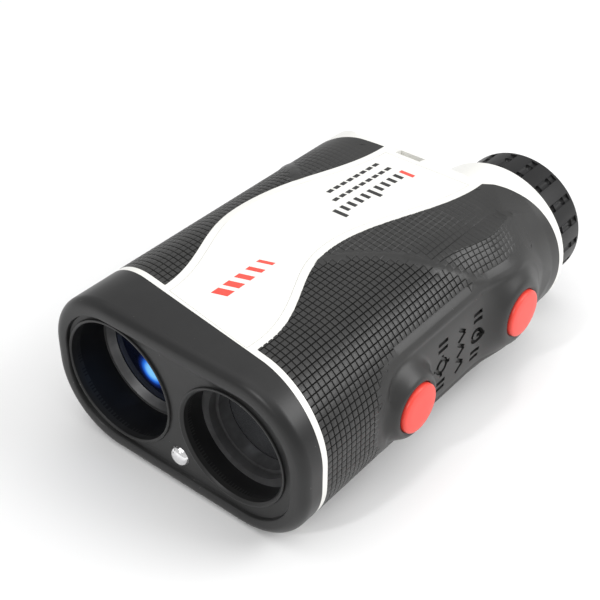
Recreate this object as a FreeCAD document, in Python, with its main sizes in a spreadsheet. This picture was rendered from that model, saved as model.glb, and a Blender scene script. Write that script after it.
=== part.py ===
import FreeCAD, Part
import math
import os
import Sketcher

# Pocket laser rangefinder, lying on its side.
# +X is the side with the buttons, +Y runs from the front windows to the eyepiece, +Z is up.
# The origin is on the floor, at the middle of the flat underside.
# Places along Y are kept in the sheet as distances behind the window rims, at "front".

DIMS = {
    # how far cutting tools reach past the material, and small clearances
    "past": 1.0, "run_out": 10.0, "half_room": 50.0, "long_room": 120.0, "hole_gap": 0.1, "fit_gap": 0.05,
    # body
    "front": -45.0, "body_width": 69.8, "body_height": 39.0, "corner": 17.0,
    "body_rear": 93.0, "plan_corner": 12.0, "rear_round": 6.0, "wall": 2.6,
    "seam_at": 9.1, "seam_slope": 0.138, "white_ring": 1.5,
    "eye_x": 15.4, "neck_r": 19.45, "neck_end": 97.3, "neck_wall_at": 94.3, "neck_merge": 92.0, "neck_flare": 0.1,
    "neck_start": 70.0, "form_front": 2.0,
    # white band between the grips: its edges swing to -X round the middle
    "wave_mid": 44.5, "wave_front": 32.5, "wave_back": 43.5,
    "right_edge_front": 15.2, "right_edge_mid": 5.0, "right_edge_back": 16.0,
    "left_edge_front": -13.2, "left_edge_mid": -22.0, "left_edge_back": -11.9,
    "grip_depth": 1.3, "plate_inset": 2.0, "plate_depth": 0.5, "plate_front": 11.6, "plate_back": 85.5,
    "plate_gap": 0.08,
    "right_grip_end": 87.9, "right_turn_x": 25.6, "right_turn_y": 93.1, "right_grip_back": 95.8, "grip_reach": 4.0,
    "left_grip_end": 87.6, "left_turn_x": -26.0, "left_turn_y": 85.6, "left_grip_back": 80.0,
    # front bumper
    "lip": 1.05, "lip_round": 2.3, "lip_inset": 3.9,
    "bumper_wall": 1.55, "face_thick": 2.2, "bumper_reach": 20.0,
    # front windows, barrels, lenses
    "left_x": -16.2, "left_r": 14.3, "right_x": 15.3, "right_r": 12.95, "rim": 0.45, "rim_width": 0.5,
    "barrel_wall": 0.95, "barrel_front": 0.3, "ledge": 1.0, "ring_bevel": 0.6,
    "left_well": 9.2, "left_ring_r": 12.9, "left_ring_len": 1.6, "left_lens_r": 13.2, "left_lens_at": 11.1,
    "left_lens_edge": 2.4, "left_bulge": 1.2, "left_tube_end": 20.0, "sensor_at": 50.0, "sensor_r": 6.0,
    "right_step_at": 5.5, "right_step_r": 11.05, "right_step_len": 2.0, "right_bore_r": 10.2,
    "right_lens_r": 11.4, "right_lens_at": 11.0, "right_lens_edge": 2.6,
    "right_bulge": 1.0, "lens_slack": 0.3, "right_tube_end": 26.0,
    # small dome between the windows
    "dome_x": 0.6, "dome_z": 8.2, "dome_r": 2.45, "dome_rise": 0.9, "dome_back": 5.0,
    "dome_at": 0.2, "led_r": 1.5, "led_front": 4.0, "led_gap": 0.2, "led_board": 7.0, "led_board_thick": 1.0,
    "led_board_side": 7.0, "led_board_low": 4.0, "led_board_high": 10.5,
    # button deck
    "deck_front": 25.6, "deck_back": 84.0, "deck_low": 10.0, "deck_high": 29.0, "deck_corner": 6.0,
    "deck_face": 33.6, "deck_inside": 31.0, "mode_y": 33.0, "power_y": 74.4,
    "mode_mound_r": 10.6, "mode_mound_top_r": 7.0, "power_mound_r": 15.0, "power_mound_top_r": 7.4,
    "mound_top": 37.1,
    # buttons and what is under them
    "button_r": 5.7, "button_face": 38.3, "button_round": 0.6, "button_gap": 0.15, "button_travel": 0.8,
    "flange_r": 6.6, "flange_thick": 1.0, "flange_seat": 33.4, "flange_gap": 0.1, "chamber_r": 6.85, "stem_r": 1.8,
    "board_x": 27.0, "board_thick": 1.0, "board_margin": 1.0, "board_back": 78.5,
    "board_low": 12.5, "board_high": 26.5, "switch_side": 6.0, "switch_thick": 1.4,
    "plunger_r": 1.4, "plunger_rise": 0.45, "stem_clear": 0.05,
    "spring_r": 5.6, "spring_wall": 0.8,
    # eyepiece
    "tube_r": 14.0, "tube_bore": 12.1, "tube_front": 80.0, "tube_end": 107.6,
    "ring_r": 16.9, "ring_front": 97.5, "ring_end": 110.5, "ring_lip": 1.6, "ring_lip_r": 12.9,
    "ring_chamfer": 0.7, "groove_count": 18, "groove_r": 1.0, "groove_sink": 0.35, "groove_end": 1.3,
    "cell_front": 96.0, "cell_end": 105.6, "cell_bore": 10.4, "cell_ledge": 0.8, "lens_sink": 0.6,
    "eye_lens_edge": 2.2, "eye_bulge": 1.3,
    "field_lens_at": 84.0, "field_lens_edge": 1.8, "field_bulge": 1.0,
    "cup_r": 15.6, "cup_bore": 11.0, "cup_end": 111.4, "cup_root": 109.1, "cup_root_r": 12.8,
    # battery, its tube and cap
    "battery_x": -17.4, "battery_r": 7.8, "battery_len": 27.0, "battery_at": 60.2, "nub_r": 3.2,
    "nub_len": 0.8, "battery_tube_r": 10.3, "battery_bore": 8.05, "mouth_bore": 8.95, "mouth_len": 7.0,
    "tube_floor": 1.4, "contact_r": 5.0, "contact_thick": 0.5, "cap_r": 10.1, "cap_head": 3.0,
    "cap_skirt_bore": 7.6, "cap_floor_in": 1.1, "skirt_short": 0.6, "cap_gap": 0.15,
    "coin_slot_len": 14.0, "cap_slot_width": 2.0, "cap_slot_depth": 1.2,
    "rear_contact_r": 6.6, "rear_contact_in": 1.2, "rear_contact_thick": 0.6, "rear_pad_r": 3.6, "rear_stem_r": 2.0,
    "seal_back": 0.35, "seal_height": 0.7, "seal_width": 0.8, "cap_notches": 12, "notch_r": 0.8, "notch_start": 0.6,
    # inside
    "seal_out": 1.75, "seal_in": 2.35, "seal_thick": 0.8, "seal_out_end": 96.3, "seal_in_end": 95.7,
    "main_x": -0.4, "main_thick": 1.2,
    "main_front": 36.0, "main_back": 79.0, "main_low": 5.0, "main_high": 34.0,
    "chip_side": 8.0, "chip_thick": 1.3, "chip_front": 46.0, "chip_low": 22.0,
    "capacitor_r": 2.0, "capacitor_front": 58.0, "capacitor_back": 70.0, "capacitor_z": 8.0,
    "prism_side": 15.0, "prism_gap": 0.25, "prism_at": 44.0,
    "half_prism_len": 11.5, "roof_prism_len": 15.5, "prism_cut_side": 0.55, "prism_cut_at": 0.62,
    "cradle_wall": 1.4, "cradle_open": 2.0, "view_r": 6.5, "cradle_front": 41.0, "cradle_back": 74.5,
    "display_at": 75.4, "display_thick": 1.6, "display_side": 16.0, "laser_r": 2.8, "laser_len": 6.5,
    "laser_y": 58.0, "laser_z": 31.0, "holder_side": 7.6, "holder_flat": 0.3,
    "sensor_board": 1.0, "sensor_board_side": 14.0, "sensor_gap": 0.6,
    "sensor_can_r": 2.3, "sensor_can_len": 2.2,
    "holder_r": 6.8, "holder_len": 5.0,
    # screws and lanyard slot
    "screw_r": 0.8, "screw_head_r": 1.6, "screw_head": 1.2, "screw_len": 24.0, "boss_r": 2.4,
    "lug_left": -10.0, "lug_right": 1.0, "lug_front": 85.0, "lug_back": 91.5, "lug_low": 30.2,
    "lug_high": 37.5,
    "slot_left": -8.0, "slot_right": -1.0, "slot_front": 87.0, "slot_width": 2.6, "slot_low": 32.4,
}
SCREWS = [(2.5, 31.0, 1.4), (-26.4, 53.6, 5.4), (-2.8, 81.6, 1.4)]
WAVE_POINTS = 9

doc = FreeCAD.newDocument("rangefinder")
sheet = doc.addObject("Spreadsheet::Sheet", "dims")
kept = []


def fill_sheet():
    for row, (name, value) in enumerate(DIMS.items(), start=1):
        sheet.set(f"A{row}", name)
        sheet.set(f"B{row}", str(value))
        sheet.setAlias(f"B{row}", name)
    doc.recompute()


def bind(piece, **sizes):
    """Bind properties to expressions on the sheet; At is a place (x, y behind the front, z)."""
    for name, text in sizes.items():
        if name == "At":
            x, y, z = text
            piece.setExpression("Placement.Base.x", str(x))
            piece.setExpression("Placement.Base.y", f"dims.front + ({y})")
            piece.setExpression("Placement.Base.z", str(z))
        else:
            piece.setExpression(name, str(text))
    return piece


def add(kind, name):
    return doc.addObject("Part::" + kind, name)


def keep(piece, label):
    """Mark a finished sub-part; its label is the name of its file."""
    piece.Label = label
    kept.append(piece)
    return piece


def cut(name, base, *tools):
    piece = add("Cut", name)
    piece.Base = base
    piece.Tool = tools[0] if len(tools) == 1 else fuse(name + "_tools", *tools)
    return piece


def fuse(name, *pieces):
    piece = add("MultiFuse", name)
    piece.Shapes = list(pieces)
    return piece


def common(name, *pieces):
    piece = add("MultiCommon", name)
    piece.Shapes = list(pieces)
    return piece


TURN = {
    "X": FreeCAD.Rotation(FreeCAD.Vector(0, 0, 1), FreeCAD.Vector(1, 0, 0)),
    "Y": FreeCAD.Rotation(FreeCAD.Vector(0, 0, 1), FreeCAD.Vector(0, 1, 0)),
    "Z": FreeCAD.Rotation(),
}
CENTRE_Z = "dims.body_height / 2"


def rod(name, axis, radius, start, end, across):
    """Cylinder from start to end along an axis; across holds its two other coordinates."""
    piece = add("Cylinder", name)
    piece.Placement.Rotation = TURN[axis]
    a, b = across
    at = {"X": (start, a, b), "Y": (a, start, b), "Z": (a, b, start)}[axis]
    return bind(piece, Radius=radius, Height=f"({end}) - ({start})", At=at)


def taper(name, axis, radius, end_radius, start, end, across):
    piece = add("Cone", name)
    piece.Placement.Rotation = TURN[axis]
    a, b = across
    at = {"X": (start, a, b), "Y": (a, start, b), "Z": (a, b, start)}[axis]
    return bind(piece, Radius1=radius, Radius2=end_radius, Height=f"({end}) - ({start})", At=at)


def block(name, x, y, z):
    """Box between pairs of limits; the y limits are behind the front."""
    piece = add("Box", name)
    sizes = {"Length": f"({x[1]}) - ({x[0]})", "Width": f"({y[1]}) - ({y[0]})", "Height": f"({z[1]}) - ({z[0]})"}
    return bind(piece, At=(x[0], y[0], z[0]), **sizes)


def turned(name, across, outer, bores):
    """Turned piece on an axis along Y: stretches (start, end, radius) less bores of the same form."""
    rods = [rod(f"{name}_out{i}", "Y", r, a, b, across) for i, (a, b, r) in enumerate(outer)]
    body = rods[0] if len(rods) == 1 else fuse(name + "_outer", *rods)
    if not bores:
        return body
    holes = [rod(f"{name}_bore{i}", "Y", r, a, b, across) for i, (a, b, r) in enumerate(bores)]
    return cut(name, body, *holes)


def round_axis(x, reach, step, count):
    """Place of one of a count of pieces set evenly round an axis at x."""
    turn = f"{step} * 360 / {count}"
    return (f"{x} + ({reach}) * cos({turn})", f"{CENTRE_Z} + ({reach}) * sin({turn})")


def lens(name, across, radius, start, edge, bulge):
    """Biconvex lens: a rod's middle held between two balls of the curve that the bulge gives."""
    x, z = across
    curve = f"(({radius})^2 + ({bulge})^2) / (2 * ({bulge}))"
    middle = rod(name + "_edge", "Y", radius, f"{start} - {bulge}", f"{start} + {edge} + {bulge}", across)
    near = add("Sphere", name + "_near")
    bind(near, Radius=curve, At=(x, f"{start} - {bulge} + {curve}", z))
    far = add("Sphere", name + "_far")
    bind(far, Radius=curve, At=(x, f"{start} + {edge} + {bulge} - {curve}", z))
    return common(name, middle, near, far)


def rounded_sketch(name, axis, wide, tall, radius, at):
    """Rounded rectangle about a point, in the plane across an axis, every size bound to the sheet."""
    sketch = doc.addObject("Sketcher::SketchObject", name)
    turns = {
        "Y": FreeCAD.Rotation(FreeCAD.Vector(1, 0, 0), 90),
        "X": FreeCAD.Rotation(FreeCAD.Vector(1, 1, 1), 120),
        "Z": FreeCAD.Rotation(),
    }
    sketch.Placement.Rotation = turns[axis]
    side, arm = 20.0, 5.0
    corners = [(1, 1), (-1, 1), (-1, -1), (1, -1)]
    up = FreeCAD.Vector(0, 0, 1)
    for turn, (i, j) in enumerate(corners):
        hub = FreeCAD.Vector(i * side, j * side, 0)
        first = turn * math.pi / 2
        sketch.addGeometry(Part.ArcOfCircle(Part.Circle(hub, up, arm), first, first + math.pi / 2))
    for turn in range(4):
        start = sketch.getPoint(turn, 2)
        end = sketch.getPoint((turn + 1) % 4, 1)
        sketch.addGeometry(Part.LineSegment(start, end))
    for turn in range(4):
        sketch.addConstraint(Sketcher.Constraint("Tangent", turn, 2, 4 + turn, 1))
        sketch.addConstraint(Sketcher.Constraint("Tangent", 4 + turn, 2, (turn + 1) % 4, 1))
    for line in (4, 6):
        sketch.addConstraint(Sketcher.Constraint("Horizontal", line))
        sketch.addConstraint(Sketcher.Constraint("Vertical", line + 1))
    for turn in (1, 2, 3):
        sketch.addConstraint(Sketcher.Constraint("Equal", 0, turn))
    sketch.addConstraint(Sketcher.Constraint("Symmetric", 0, 3, 2, 3, -1, 1))
    names = [
        ("wide", Sketcher.Constraint("DistanceX", 1, 3, 0, 3, 2 * side), f"({wide}) - 2 * ({radius})"),
        ("tall", Sketcher.Constraint("DistanceY", 2, 3, 1, 3, 2 * side), f"({tall}) - 2 * ({radius})"),
        ("bend", Sketcher.Constraint("Radius", 0, arm), radius),
    ]
    for label, constraint, text in names:
        index = sketch.addConstraint(constraint)
        sketch.renameConstraint(index, label)
        sketch.setExpression("Constraints." + label, text)
    return bind(sketch, At=at)


def bar(name, axis, wide, tall, radius, at, length):
    """A rounded rectangle drawn out along an axis."""
    piece = add("Extrusion", name)
    piece.Base = rounded_sketch(name + "_outline", axis, wide, tall, radius, at)
    piece.DirMode = "Custom"
    piece.Dir = TURN[axis].multVec(FreeCAD.Vector(0, 0, 1))
    piece.Solid = True
    return bind(piece, LengthFwd=length)


def fillet(name, base, radius, chosen):
    """Round the edges of base that chosen(edge) picks."""
    doc.recompute()
    piece = add("Fillet", name)
    piece.Base = base
    edges = base.Shape.Edges
    piece.Edges = [(i + 1, radius, radius) for i, edge in enumerate(edges) if chosen(edge)]
    return piece


def size(name):
    return getattr(sheet, name)


def on_plane(axis, place, tolerance=0.01):
    """A test for edges that lie wholly in the plane across an axis."""
    low, high = axis + "Min", axis + "Max"

    def lies(edge):
        box = edge.BoundBox
        return abs(getattr(box, low) - place) < tolerance and abs(getattr(box, high) - place) < tolerance

    return lies


def housing_form(name, inset, neck_end):
    """The body's outer form, drawn in by an inset.

    A rounded bar. Its rear is rounded on the far side, and on the button side it tapers into the round neck.
    """
    section = bar(
        name + "_section", "Y",
        f"dims.body_width - 2 * {inset}", f"dims.body_height - 2 * {inset}", f"dims.corner - {inset}",
        (0, "dims.face_thick + dims.hole_gap", CENTRE_Z), "dims.body_rear + dims.run_out",
    )
    half = size("body_width") / 2
    limits = (f"{inset} - dims.body_width / 2", "dims.eye_x")
    lengths = ("-dims.form_front", f"dims.body_rear - {inset}")
    plan = block(name + "_plan", limits, lengths, (inset, f"dims.body_height - {inset}"))
    doc.recompute()
    back = plan.Shape.BoundBox.YMax
    depth = half + plan.Shape.BoundBox.XMin

    def upright_at_corner(edge):
        box = edge.BoundBox
        return box.ZLength > 1 and box.YMin > back - 0.01 and box.XMax < 0

    corner = fillet(name + "_corner", plan, size("plan_corner") - depth, upright_at_corner)
    doc.recompute()

    def rear_rim(edge):
        box = edge.BoundBox
        return box.ZLength < 0.01 and box.YMax > back - 0.01 and box.YMin > 0

    rounded = fillet(name + "_rear", corner, size("rear_round") - depth, rear_rim)
    far_side = common(name + "_far_side", section, rounded)
    merge = f"dims.neck_merge - {inset}"
    room = block(
        name + "_room", ("dims.eye_x", "dims.half_room"), ("-dims.form_front", merge),
        ("-dims.past", "dims.body_height + dims.past"),
    )
    neck_r = f"dims.neck_r - {inset}"
    wide = f"{neck_r} + dims.neck_flare * ({merge} + dims.form_front)"
    axis = ("dims.eye_x", CENTRE_Z)
    flare = taper(name + "_flare", "Y", wide, neck_r, "-dims.form_front", merge, axis)
    button_side = common(name + "_button_side", section, room, flare)
    neck = rod(name + "_neck", "Y", neck_r, "dims.neck_start", neck_end, axis)
    return fuse(name, far_side, button_side, neck)


def seam_y(x, behind=0.0):
    """Where the slanted seam behind the bumper crosses a line at x."""
    return size("front") + size("seam_at") - size("seam_slope") * x + behind


def wave(side, y):
    """Edge of the white band at a distance behind the front: a cosine swing each way from the middle."""
    middle = size(side + "_edge_mid")
    before = y < size("wave_mid")
    end = size(side + ("_edge_front" if before else "_edge_back"))
    reach = size("wave_front" if before else "wave_back")
    part = min(abs(y - size("wave_mid")) / reach, 1.0)
    return middle + (end - middle) * (1 - math.cos(math.pi * part)) / 2


def wave_curve(side, first, last, shift=0.0):
    """The band's edge as one smooth curve, moved sideways by shift."""
    points = []
    for i in range(WAVE_POINTS):
        y = first + (last - first) * i / (WAVE_POINTS - 1)
        points.append(FreeCAD.Vector(wave(side, y) + shift, size("front") + y, 0))
    curve = Part.BSplineCurve()
    curve.interpolate(points)
    return curve.toShape(), points[0], points[-1]


def prism_of(name, edges, low, high):
    """A plan outline drawn up along Z."""
    face = add("Feature", name + "_plan")
    face.Shape = Part.Face(Part.Wire(edges))
    bind(face, **{"Placement.Base.z": low})
    piece = add("Extrusion", name)
    piece.Base = face
    piece.DirMode = "Custom"
    piece.Dir = FreeCAD.Vector(0, 0, 1)
    piece.Solid = True
    return bind(piece, LengthFwd=f"({high}) - ({low})")


def behind_seam(name, behind):
    """Everything behind the slanted seam."""
    reach = size("body_width")
    far = size("front") + size("ring_end")
    corners = [
        FreeCAD.Vector(-reach, seam_y(-reach, behind), 0), FreeCAD.Vector(reach, seam_y(reach, behind), 0),
        FreeCAD.Vector(reach, far, 0), FreeCAD.Vector(-reach, far, 0),
    ]
    edges = Part.makePolygon(corners + corners[:1]).Edges
    return prism_of(name, edges, "-dims.past", "dims.body_height + dims.past")


def grip_plan(side, hand):
    """Between the band and one side of the body; the rear edge is an arc."""
    front, reach = size("front"), hand * (size("body_width") / 2 + size("grip_reach"))
    first = size("seam_at") + size("white_ring") - size("seam_slope") * size(side + "_edge_front")
    curve, start, end = wave_curve(side, first, size(side + "_grip_end"))
    turn = FreeCAD.Vector(size(side + "_turn_x"), front + size(side + "_turn_y"), 0)
    rear = FreeCAD.Vector(reach, front + size(side + "_grip_back"), 0)
    corner = FreeCAD.Vector(reach, seam_y(reach, size("white_ring")), 0)
    lines = [Part.makeLine(rear, corner), Part.makeLine(corner, start)]
    return [curve, Part.Arc(end, turn, rear).toShape()] + lines


def label_plan(inset):
    """Outline of the label plates: the white band, drawn in all round."""
    first, last = size("plate_front") + inset, size("plate_back") - inset
    margin = size("plate_inset") + inset
    right, right_start, right_end = wave_curve("right", first - 2 * size("plate_inset"), last, -margin)
    left, left_start, left_end = wave_curve("left", first, last, margin)
    return [right, Part.makeLine(right_end, left_end), left, Part.makeLine(left_start, right_start)]


fill_sheet()

body = housing_form("body_form", "0", "dims.neck_end")
under_grip = housing_form("under_grip", "dims.grip_depth", "dims.neck_end")
cavity = housing_form("cavity", "dims.wall", "dims.neck_wall_at")
seal_outer = housing_form("seal_outer", "dims.seal_out", "dims.seal_out_end")
seal_inner = housing_form("seal_inner", "dims.seal_in", "dims.seal_in_end")
under_bumper = housing_form("under_bumper", "dims.bumper_wall", "dims.neck_end")
back_of_seam = behind_seam("back_of_seam", 0)

# grips -----------------------------------------------------------------------------------------
grip_skin = cut("grip_skin", body, under_grip)
right_region = prism_of("right_region", grip_plan("right", 1), "-dims.past", "dims.body_height + dims.past")
left_region = prism_of("left_region", grip_plan("left", -1), "-dims.past", "dims.body_height + dims.past")
right_skin = common("right_skin", grip_skin, right_region)
left_skin = common("left_skin", grip_skin, left_region)

# button deck -----------------------------------------------------------------------------------
deck_middle = "(dims.deck_front + dims.deck_back) / 2"
deck_centre = "(dims.deck_low + dims.deck_high) / 2"
deck_plate = bar(
    "deck_plate", "X", "dims.deck_back - dims.deck_front", "dims.deck_high - dims.deck_low", "dims.deck_corner",
    ("dims.deck_inside", deck_middle, deck_centre), "dims.deck_face - dims.deck_inside",
)
mounds = {}
for which in ("mode", "power"):
    mounds[which] = taper(
        which + "_mound", "X", f"dims.{which}_mound_r", f"dims.{which}_mound_top_r",
        "dims.deck_inside", "dims.mound_top", (f"dims.{which}_y", CENTRE_Z),
    )
deck_form = fuse("deck_form", deck_plate, *mounds.values())
deck_sink = bar(
    "deck_sink", "X", "dims.deck_back - dims.deck_front", "dims.deck_high - dims.deck_low", "dims.deck_corner",
    ("dims.deck_face", deck_middle, deck_centre), "dims.run_out",
)
deck_room = fuse("deck_room", deck_form, deck_sink)
deck_holes = []
for which in ("mode", "power"):
    place = (f"dims.{which}_y", CENTRE_Z)
    below = "dims.deck_inside - dims.past"
    deck_holes.append(rod(which + "_hole", "X", "dims.button_r + dims.button_gap", below, "dims.half_room", place))
    deck_holes.append(rod(which + "_chamber", "X", "dims.chamber_r", below, "dims.flange_seat", place))
keep(cut("button_deck_part", deck_form, *deck_holes), "button_deck")
keep(cut("right_grip_part", right_skin, deck_room), "grip_button_side")
keep(left_skin, "grip_far_side")

# label plates ----------------------------------------------------------------------------------
upper_plate_low = "dims.body_height - dims.plate_depth"
upper_recess = prism_of("upper_recess", label_plan(0), upper_plate_low, "dims.body_height + dims.past")
lower_recess = prism_of("lower_recess", label_plan(0), "-dims.past", "dims.plate_depth")
plate_outline = label_plan(size("plate_gap"))
keep(prism_of("upper_plate_part", plate_outline, upper_plate_low, "dims.body_height"), "upper_plate")
keep(prism_of("lower_plate_part", plate_outline, "0", "dims.plate_depth"), "lower_plate")

# covers ----------------------------------------------------------------------------------------
white = common("white", body, back_of_seam)
front_skirt = cut("front_skirt", under_bumper, back_of_seam)
shell = fuse("shell", white, front_skirt)
seal_band = cut("seal_band", seal_outer, seal_inner)
seal_slab = block(
    "seal_slab", ("-dims.half_room", "dims.half_room"), ("0", "dims.long_room"),
    (f"{CENTRE_Z} - dims.seal_thick / 2", f"{CENTRE_Z} + dims.seal_thick / 2"),
)
eye = ("dims.eye_x", CENTRE_Z)
battery_axis = ("dims.battery_x", CENTRE_Z)
eye_hole = rod("eye_hole", "Y", "dims.tube_r", "dims.tube_front", "dims.long_room", eye)
tube_room_r = "dims.battery_tube_r + dims.hole_gap"
battery_hole = rod("battery_hole", "Y", tube_room_r, "dims.tube_front", "dims.long_room", battery_axis)
seal_raw = common("seal_raw", seal_band, seal_slab)
keep(cut("cover_seal_part", seal_raw, deck_room, eye_hole, battery_hole), "cover_seal")
lug = block(
    "lug", ("dims.lug_left", "dims.lug_right"), ("dims.lug_front", "dims.lug_back"),
    ("dims.lug_low", "dims.lug_high"),
)
slot_wide = ("dims.slot_left", "dims.slot_right")
slot_down = block(
    "slot_down", slot_wide, ("dims.slot_front", "dims.slot_front + dims.slot_width"),
    ("dims.slot_low", "dims.body_height + dims.past"),
)
slot_back = block(
    "slot_back", slot_wide, ("dims.slot_front", "dims.body_rear + dims.past"),
    ("dims.slot_low", "dims.slot_low + dims.slot_width"),
)


def cover(label, low, high, recess, extra, holes):
    """Half of the shell, with its screw bosses."""
    half = block(label + "_half", ("-dims.half_room", "dims.half_room"), ("0", "dims.long_room"), (low, high))
    hollow = common(label + "_raw", cut(label + "_hollow", shell, cavity), half)
    bosses = [
        rod(f"{label}_boss{i}", "Z", "dims.boss_r", low, high, place[:2]) for i, place in enumerate(SCREWS)
    ]
    inside = common(label + "_bosses", fuse(label + "_boss_rods", *bosses), seal_inner)
    whole = fuse(label + "_whole", hollow, inside, *extra)
    tools = [grip_skin_both, recess, deck_room, seal_raw, eye_hole, battery_hole] + holes
    return keep(cut(label + "_part", whole, *tools), label)


grip_skin_both = fuse("grip_skin_both", right_skin, left_skin)
screws = []
screw_holes = []
for i, (x, y, seat) in enumerate(SCREWS):
    head_top = f"{seat} + dims.screw_head"
    head = rod(f"screw_head{i}", "Z", "dims.screw_head_r", seat, head_top, (x, y))
    shank = rod(f"screw_shank{i}", "Z", "dims.screw_r", head_top, f"{head_top} + dims.screw_len", (x, y))
    screws.append(fuse(f"screw{i}", head, shank))
    screw_holes.append(rod(f"screw_well{i}", "Z", "dims.screw_head_r", "-dims.past", seat, (x, y)))
keep(fuse("cover_screws_part", *screws), "cover_screws")
cover("upper_cover", CENTRE_Z, "dims.body_height", upper_recess, [lug], [slot_down, slot_back, *screws])
cover("lower_cover", "0", CENTRE_Z, lower_recess, [], screws + screw_holes)

# front bumper ----------------------------------------------------------------------------------
block_out = bar(
    "bumper_block", "Y", "dims.body_width", "dims.body_height", "dims.corner",
    (0, "-dims.lip", CENTRE_Z), "dims.bumper_reach + dims.lip",
)
nose = fillet("bumper_nose", block_out, size("lip_round"), on_plane("Y", size("front") - size("lip")))
dish = bar(
    "bumper_dish", "Y", "dims.body_width - 2 * dims.lip_inset", "dims.body_height - 2 * dims.lip_inset",
    "dims.corner - dims.lip_inset", (0, "-dims.lip - dims.past", CENTRE_Z), "dims.lip + dims.past",
)
inner = bar(
    "bumper_inner", "Y", "dims.body_width - 2 * dims.bumper_wall", "dims.body_height - 2 * dims.bumper_wall",
    "dims.corner - dims.bumper_wall", (0, "dims.face_thick", CENTRE_Z), "dims.bumper_reach + dims.past",
)
dished = cut("bumper_dished", nose, dish, inner, back_of_seam)
rims = []
for side in ("left", "right"):
    rims.append(rod(
        side + "_rim", "Y", f"dims.{side}_r + dims.rim_width", "-dims.rim", "dims.face_thick",
        (f"dims.{side}_x", CENTRE_Z),
    ))
rimmed = fuse("bumper_rimmed", dished, *rims)
windows = []
face_back = "dims.face_thick + dims.past"
for side in ("left", "right"):
    across = (f"dims.{side}_x", CENTRE_Z)
    seat_r = f"dims.{side}_r + dims.barrel_wall"
    windows.append(rod(side + "_window", "Y", f"dims.{side}_r", "-dims.run_out", face_back, across))
    windows.append(rod(side + "_seat", "Y", seat_r, "dims.barrel_front", face_back, across))
dome = ("dims.dome_x", "dims.dome_z")
dome_hole = rod("dome_hole", "Y", "dims.dome_r", "-dims.run_out", face_back, dome)
keep(cut("bumper_part", rimmed, *windows, dome_hole), "front_bumper")

# front barrels, rings and lenses -----------------------------------------------------------------
left = ("dims.left_x", CENTRE_Z)
right = ("dims.right_x", CENTRE_Z)
left_outer = "dims.left_r + dims.barrel_wall"
right_outer = "dims.right_r + dims.barrel_wall"
left_tube = rod("left_tube", "Y", left_outer, "dims.barrel_front", "dims.left_tube_end", left)
left_inner_end = "dims.sensor_r + dims.barrel_wall"
left_cone = taper("left_cone", "Y", left_outer, left_inner_end, "dims.left_tube_end", "dims.sensor_at", left)
left_bore = rod("left_bore", "Y", "dims.left_r", "dims.barrel_front - dims.past", "dims.left_lens_at", left)
left_lens_end = "dims.left_lens_at + dims.left_lens_edge + dims.lens_slack"
left_seat = rod("left_seat_bore", "Y", "dims.left_lens_r", "dims.barrel_front", left_lens_end, left)
left_throat = taper(
    "left_throat", "Y", "dims.left_lens_r - dims.ledge", "dims.sensor_r", left_lens_end, "dims.sensor_at", left,
)
left_barrel_outer = fuse("left_barrel_outer", left_tube, left_cone)
keep(cut("left_barrel_part", left_barrel_outer, left_bore, left_seat, left_throat), "left_barrel")
left_ring_end = "dims.left_well + dims.left_ring_len"
left_ring_inner = "dims.left_ring_r - dims.ring_bevel"
left_ring = turned(
    "left_ring", left, [("dims.left_well", left_ring_end, "dims.left_r")],
    [("dims.left_well - dims.past", f"{left_ring_end} + dims.past", left_ring_inner)],
)
left_bevel = taper(
    "left_bevel", "Y", "dims.left_ring_r + dims.ring_bevel", left_ring_inner, "dims.left_well", left_ring_end, left,
)
keep(cut("left_ring_part", left_ring, left_bevel), "left_retaining_ring")
keep(lens(
    "receiver_lens_part", left, "dims.left_lens_r", "dims.left_lens_at", "dims.left_lens_edge", "dims.left_bulge",
), "receiver_lens")
right_tail = "dims.right_lens_at + dims.right_lens_edge + dims.lens_slack"
keep(turned(
    "right_barrel_part", right, [("dims.barrel_front", "dims.right_tube_end", right_outer)],
    [
        ("dims.barrel_front - dims.past", "dims.right_step_at + dims.right_step_len", "dims.right_r"),
        ("dims.right_step_at", right_tail, "dims.right_lens_r"),
        ("dims.right_step_at", "dims.right_tube_end + dims.past", "dims.right_lens_r - dims.ledge"),
    ],
), "right_barrel")
keep(turned(
    "right_ring_part", right,
    [
        ("dims.right_step_at", "dims.right_step_at + dims.right_step_len", "dims.right_r"),
        ("dims.right_step_at", "dims.right_lens_at - dims.lens_slack", "dims.right_lens_r"),
    ],
    [
        ("dims.right_step_at - dims.past", "dims.right_step_at + dims.right_step_len", "dims.right_step_r"),
        ("dims.right_step_at", "dims.right_lens_at + dims.past", "dims.right_bore_r"),
    ],
), "right_retaining_ring")
keep(lens(
    "objective_lens_part", right, "dims.right_lens_r", "dims.right_lens_at", "dims.right_lens_edge",
    "dims.right_bulge",
), "objective_lens")

# dome, LED and its board ---------------------------------------------------------------------------
dome_rod = rod("dome_rod", "Y", "dims.dome_r", "dims.dome_at", "dims.dome_back", dome)
dome_curve = "(dims.dome_r^2 + dims.dome_rise^2) / (2 * dims.dome_rise)"
dome_tip = "dims.dome_at - dims.dome_rise"
dome_ball = add("Sphere", "dome_ball")
bind(dome_ball, Radius=dome_curve, At=("dims.dome_x", f"{dome_tip} + {dome_curve}", "dims.dome_z"))
dome_room = rod("dome_room", "Y", "dims.dome_r", f"{dome_tip} - dims.hole_gap", "dims.past", dome)
dome_cap = common("dome_cap", dome_ball, dome_room)
pocket_start = "dims.led_front - dims.led_gap"
led_pocket = rod("led_pocket", "Y", "dims.led_r + dims.hole_gap", pocket_start, "dims.dome_back + dims.past", dome)
keep(cut("dome_part", fuse("dome_whole", dome_rod, dome_cap), led_pocket), "indicator_dome")
keep(rod("led_part", "Y", "dims.led_r", "dims.led_front", "dims.led_board", dome), "indicator_led")
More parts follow.
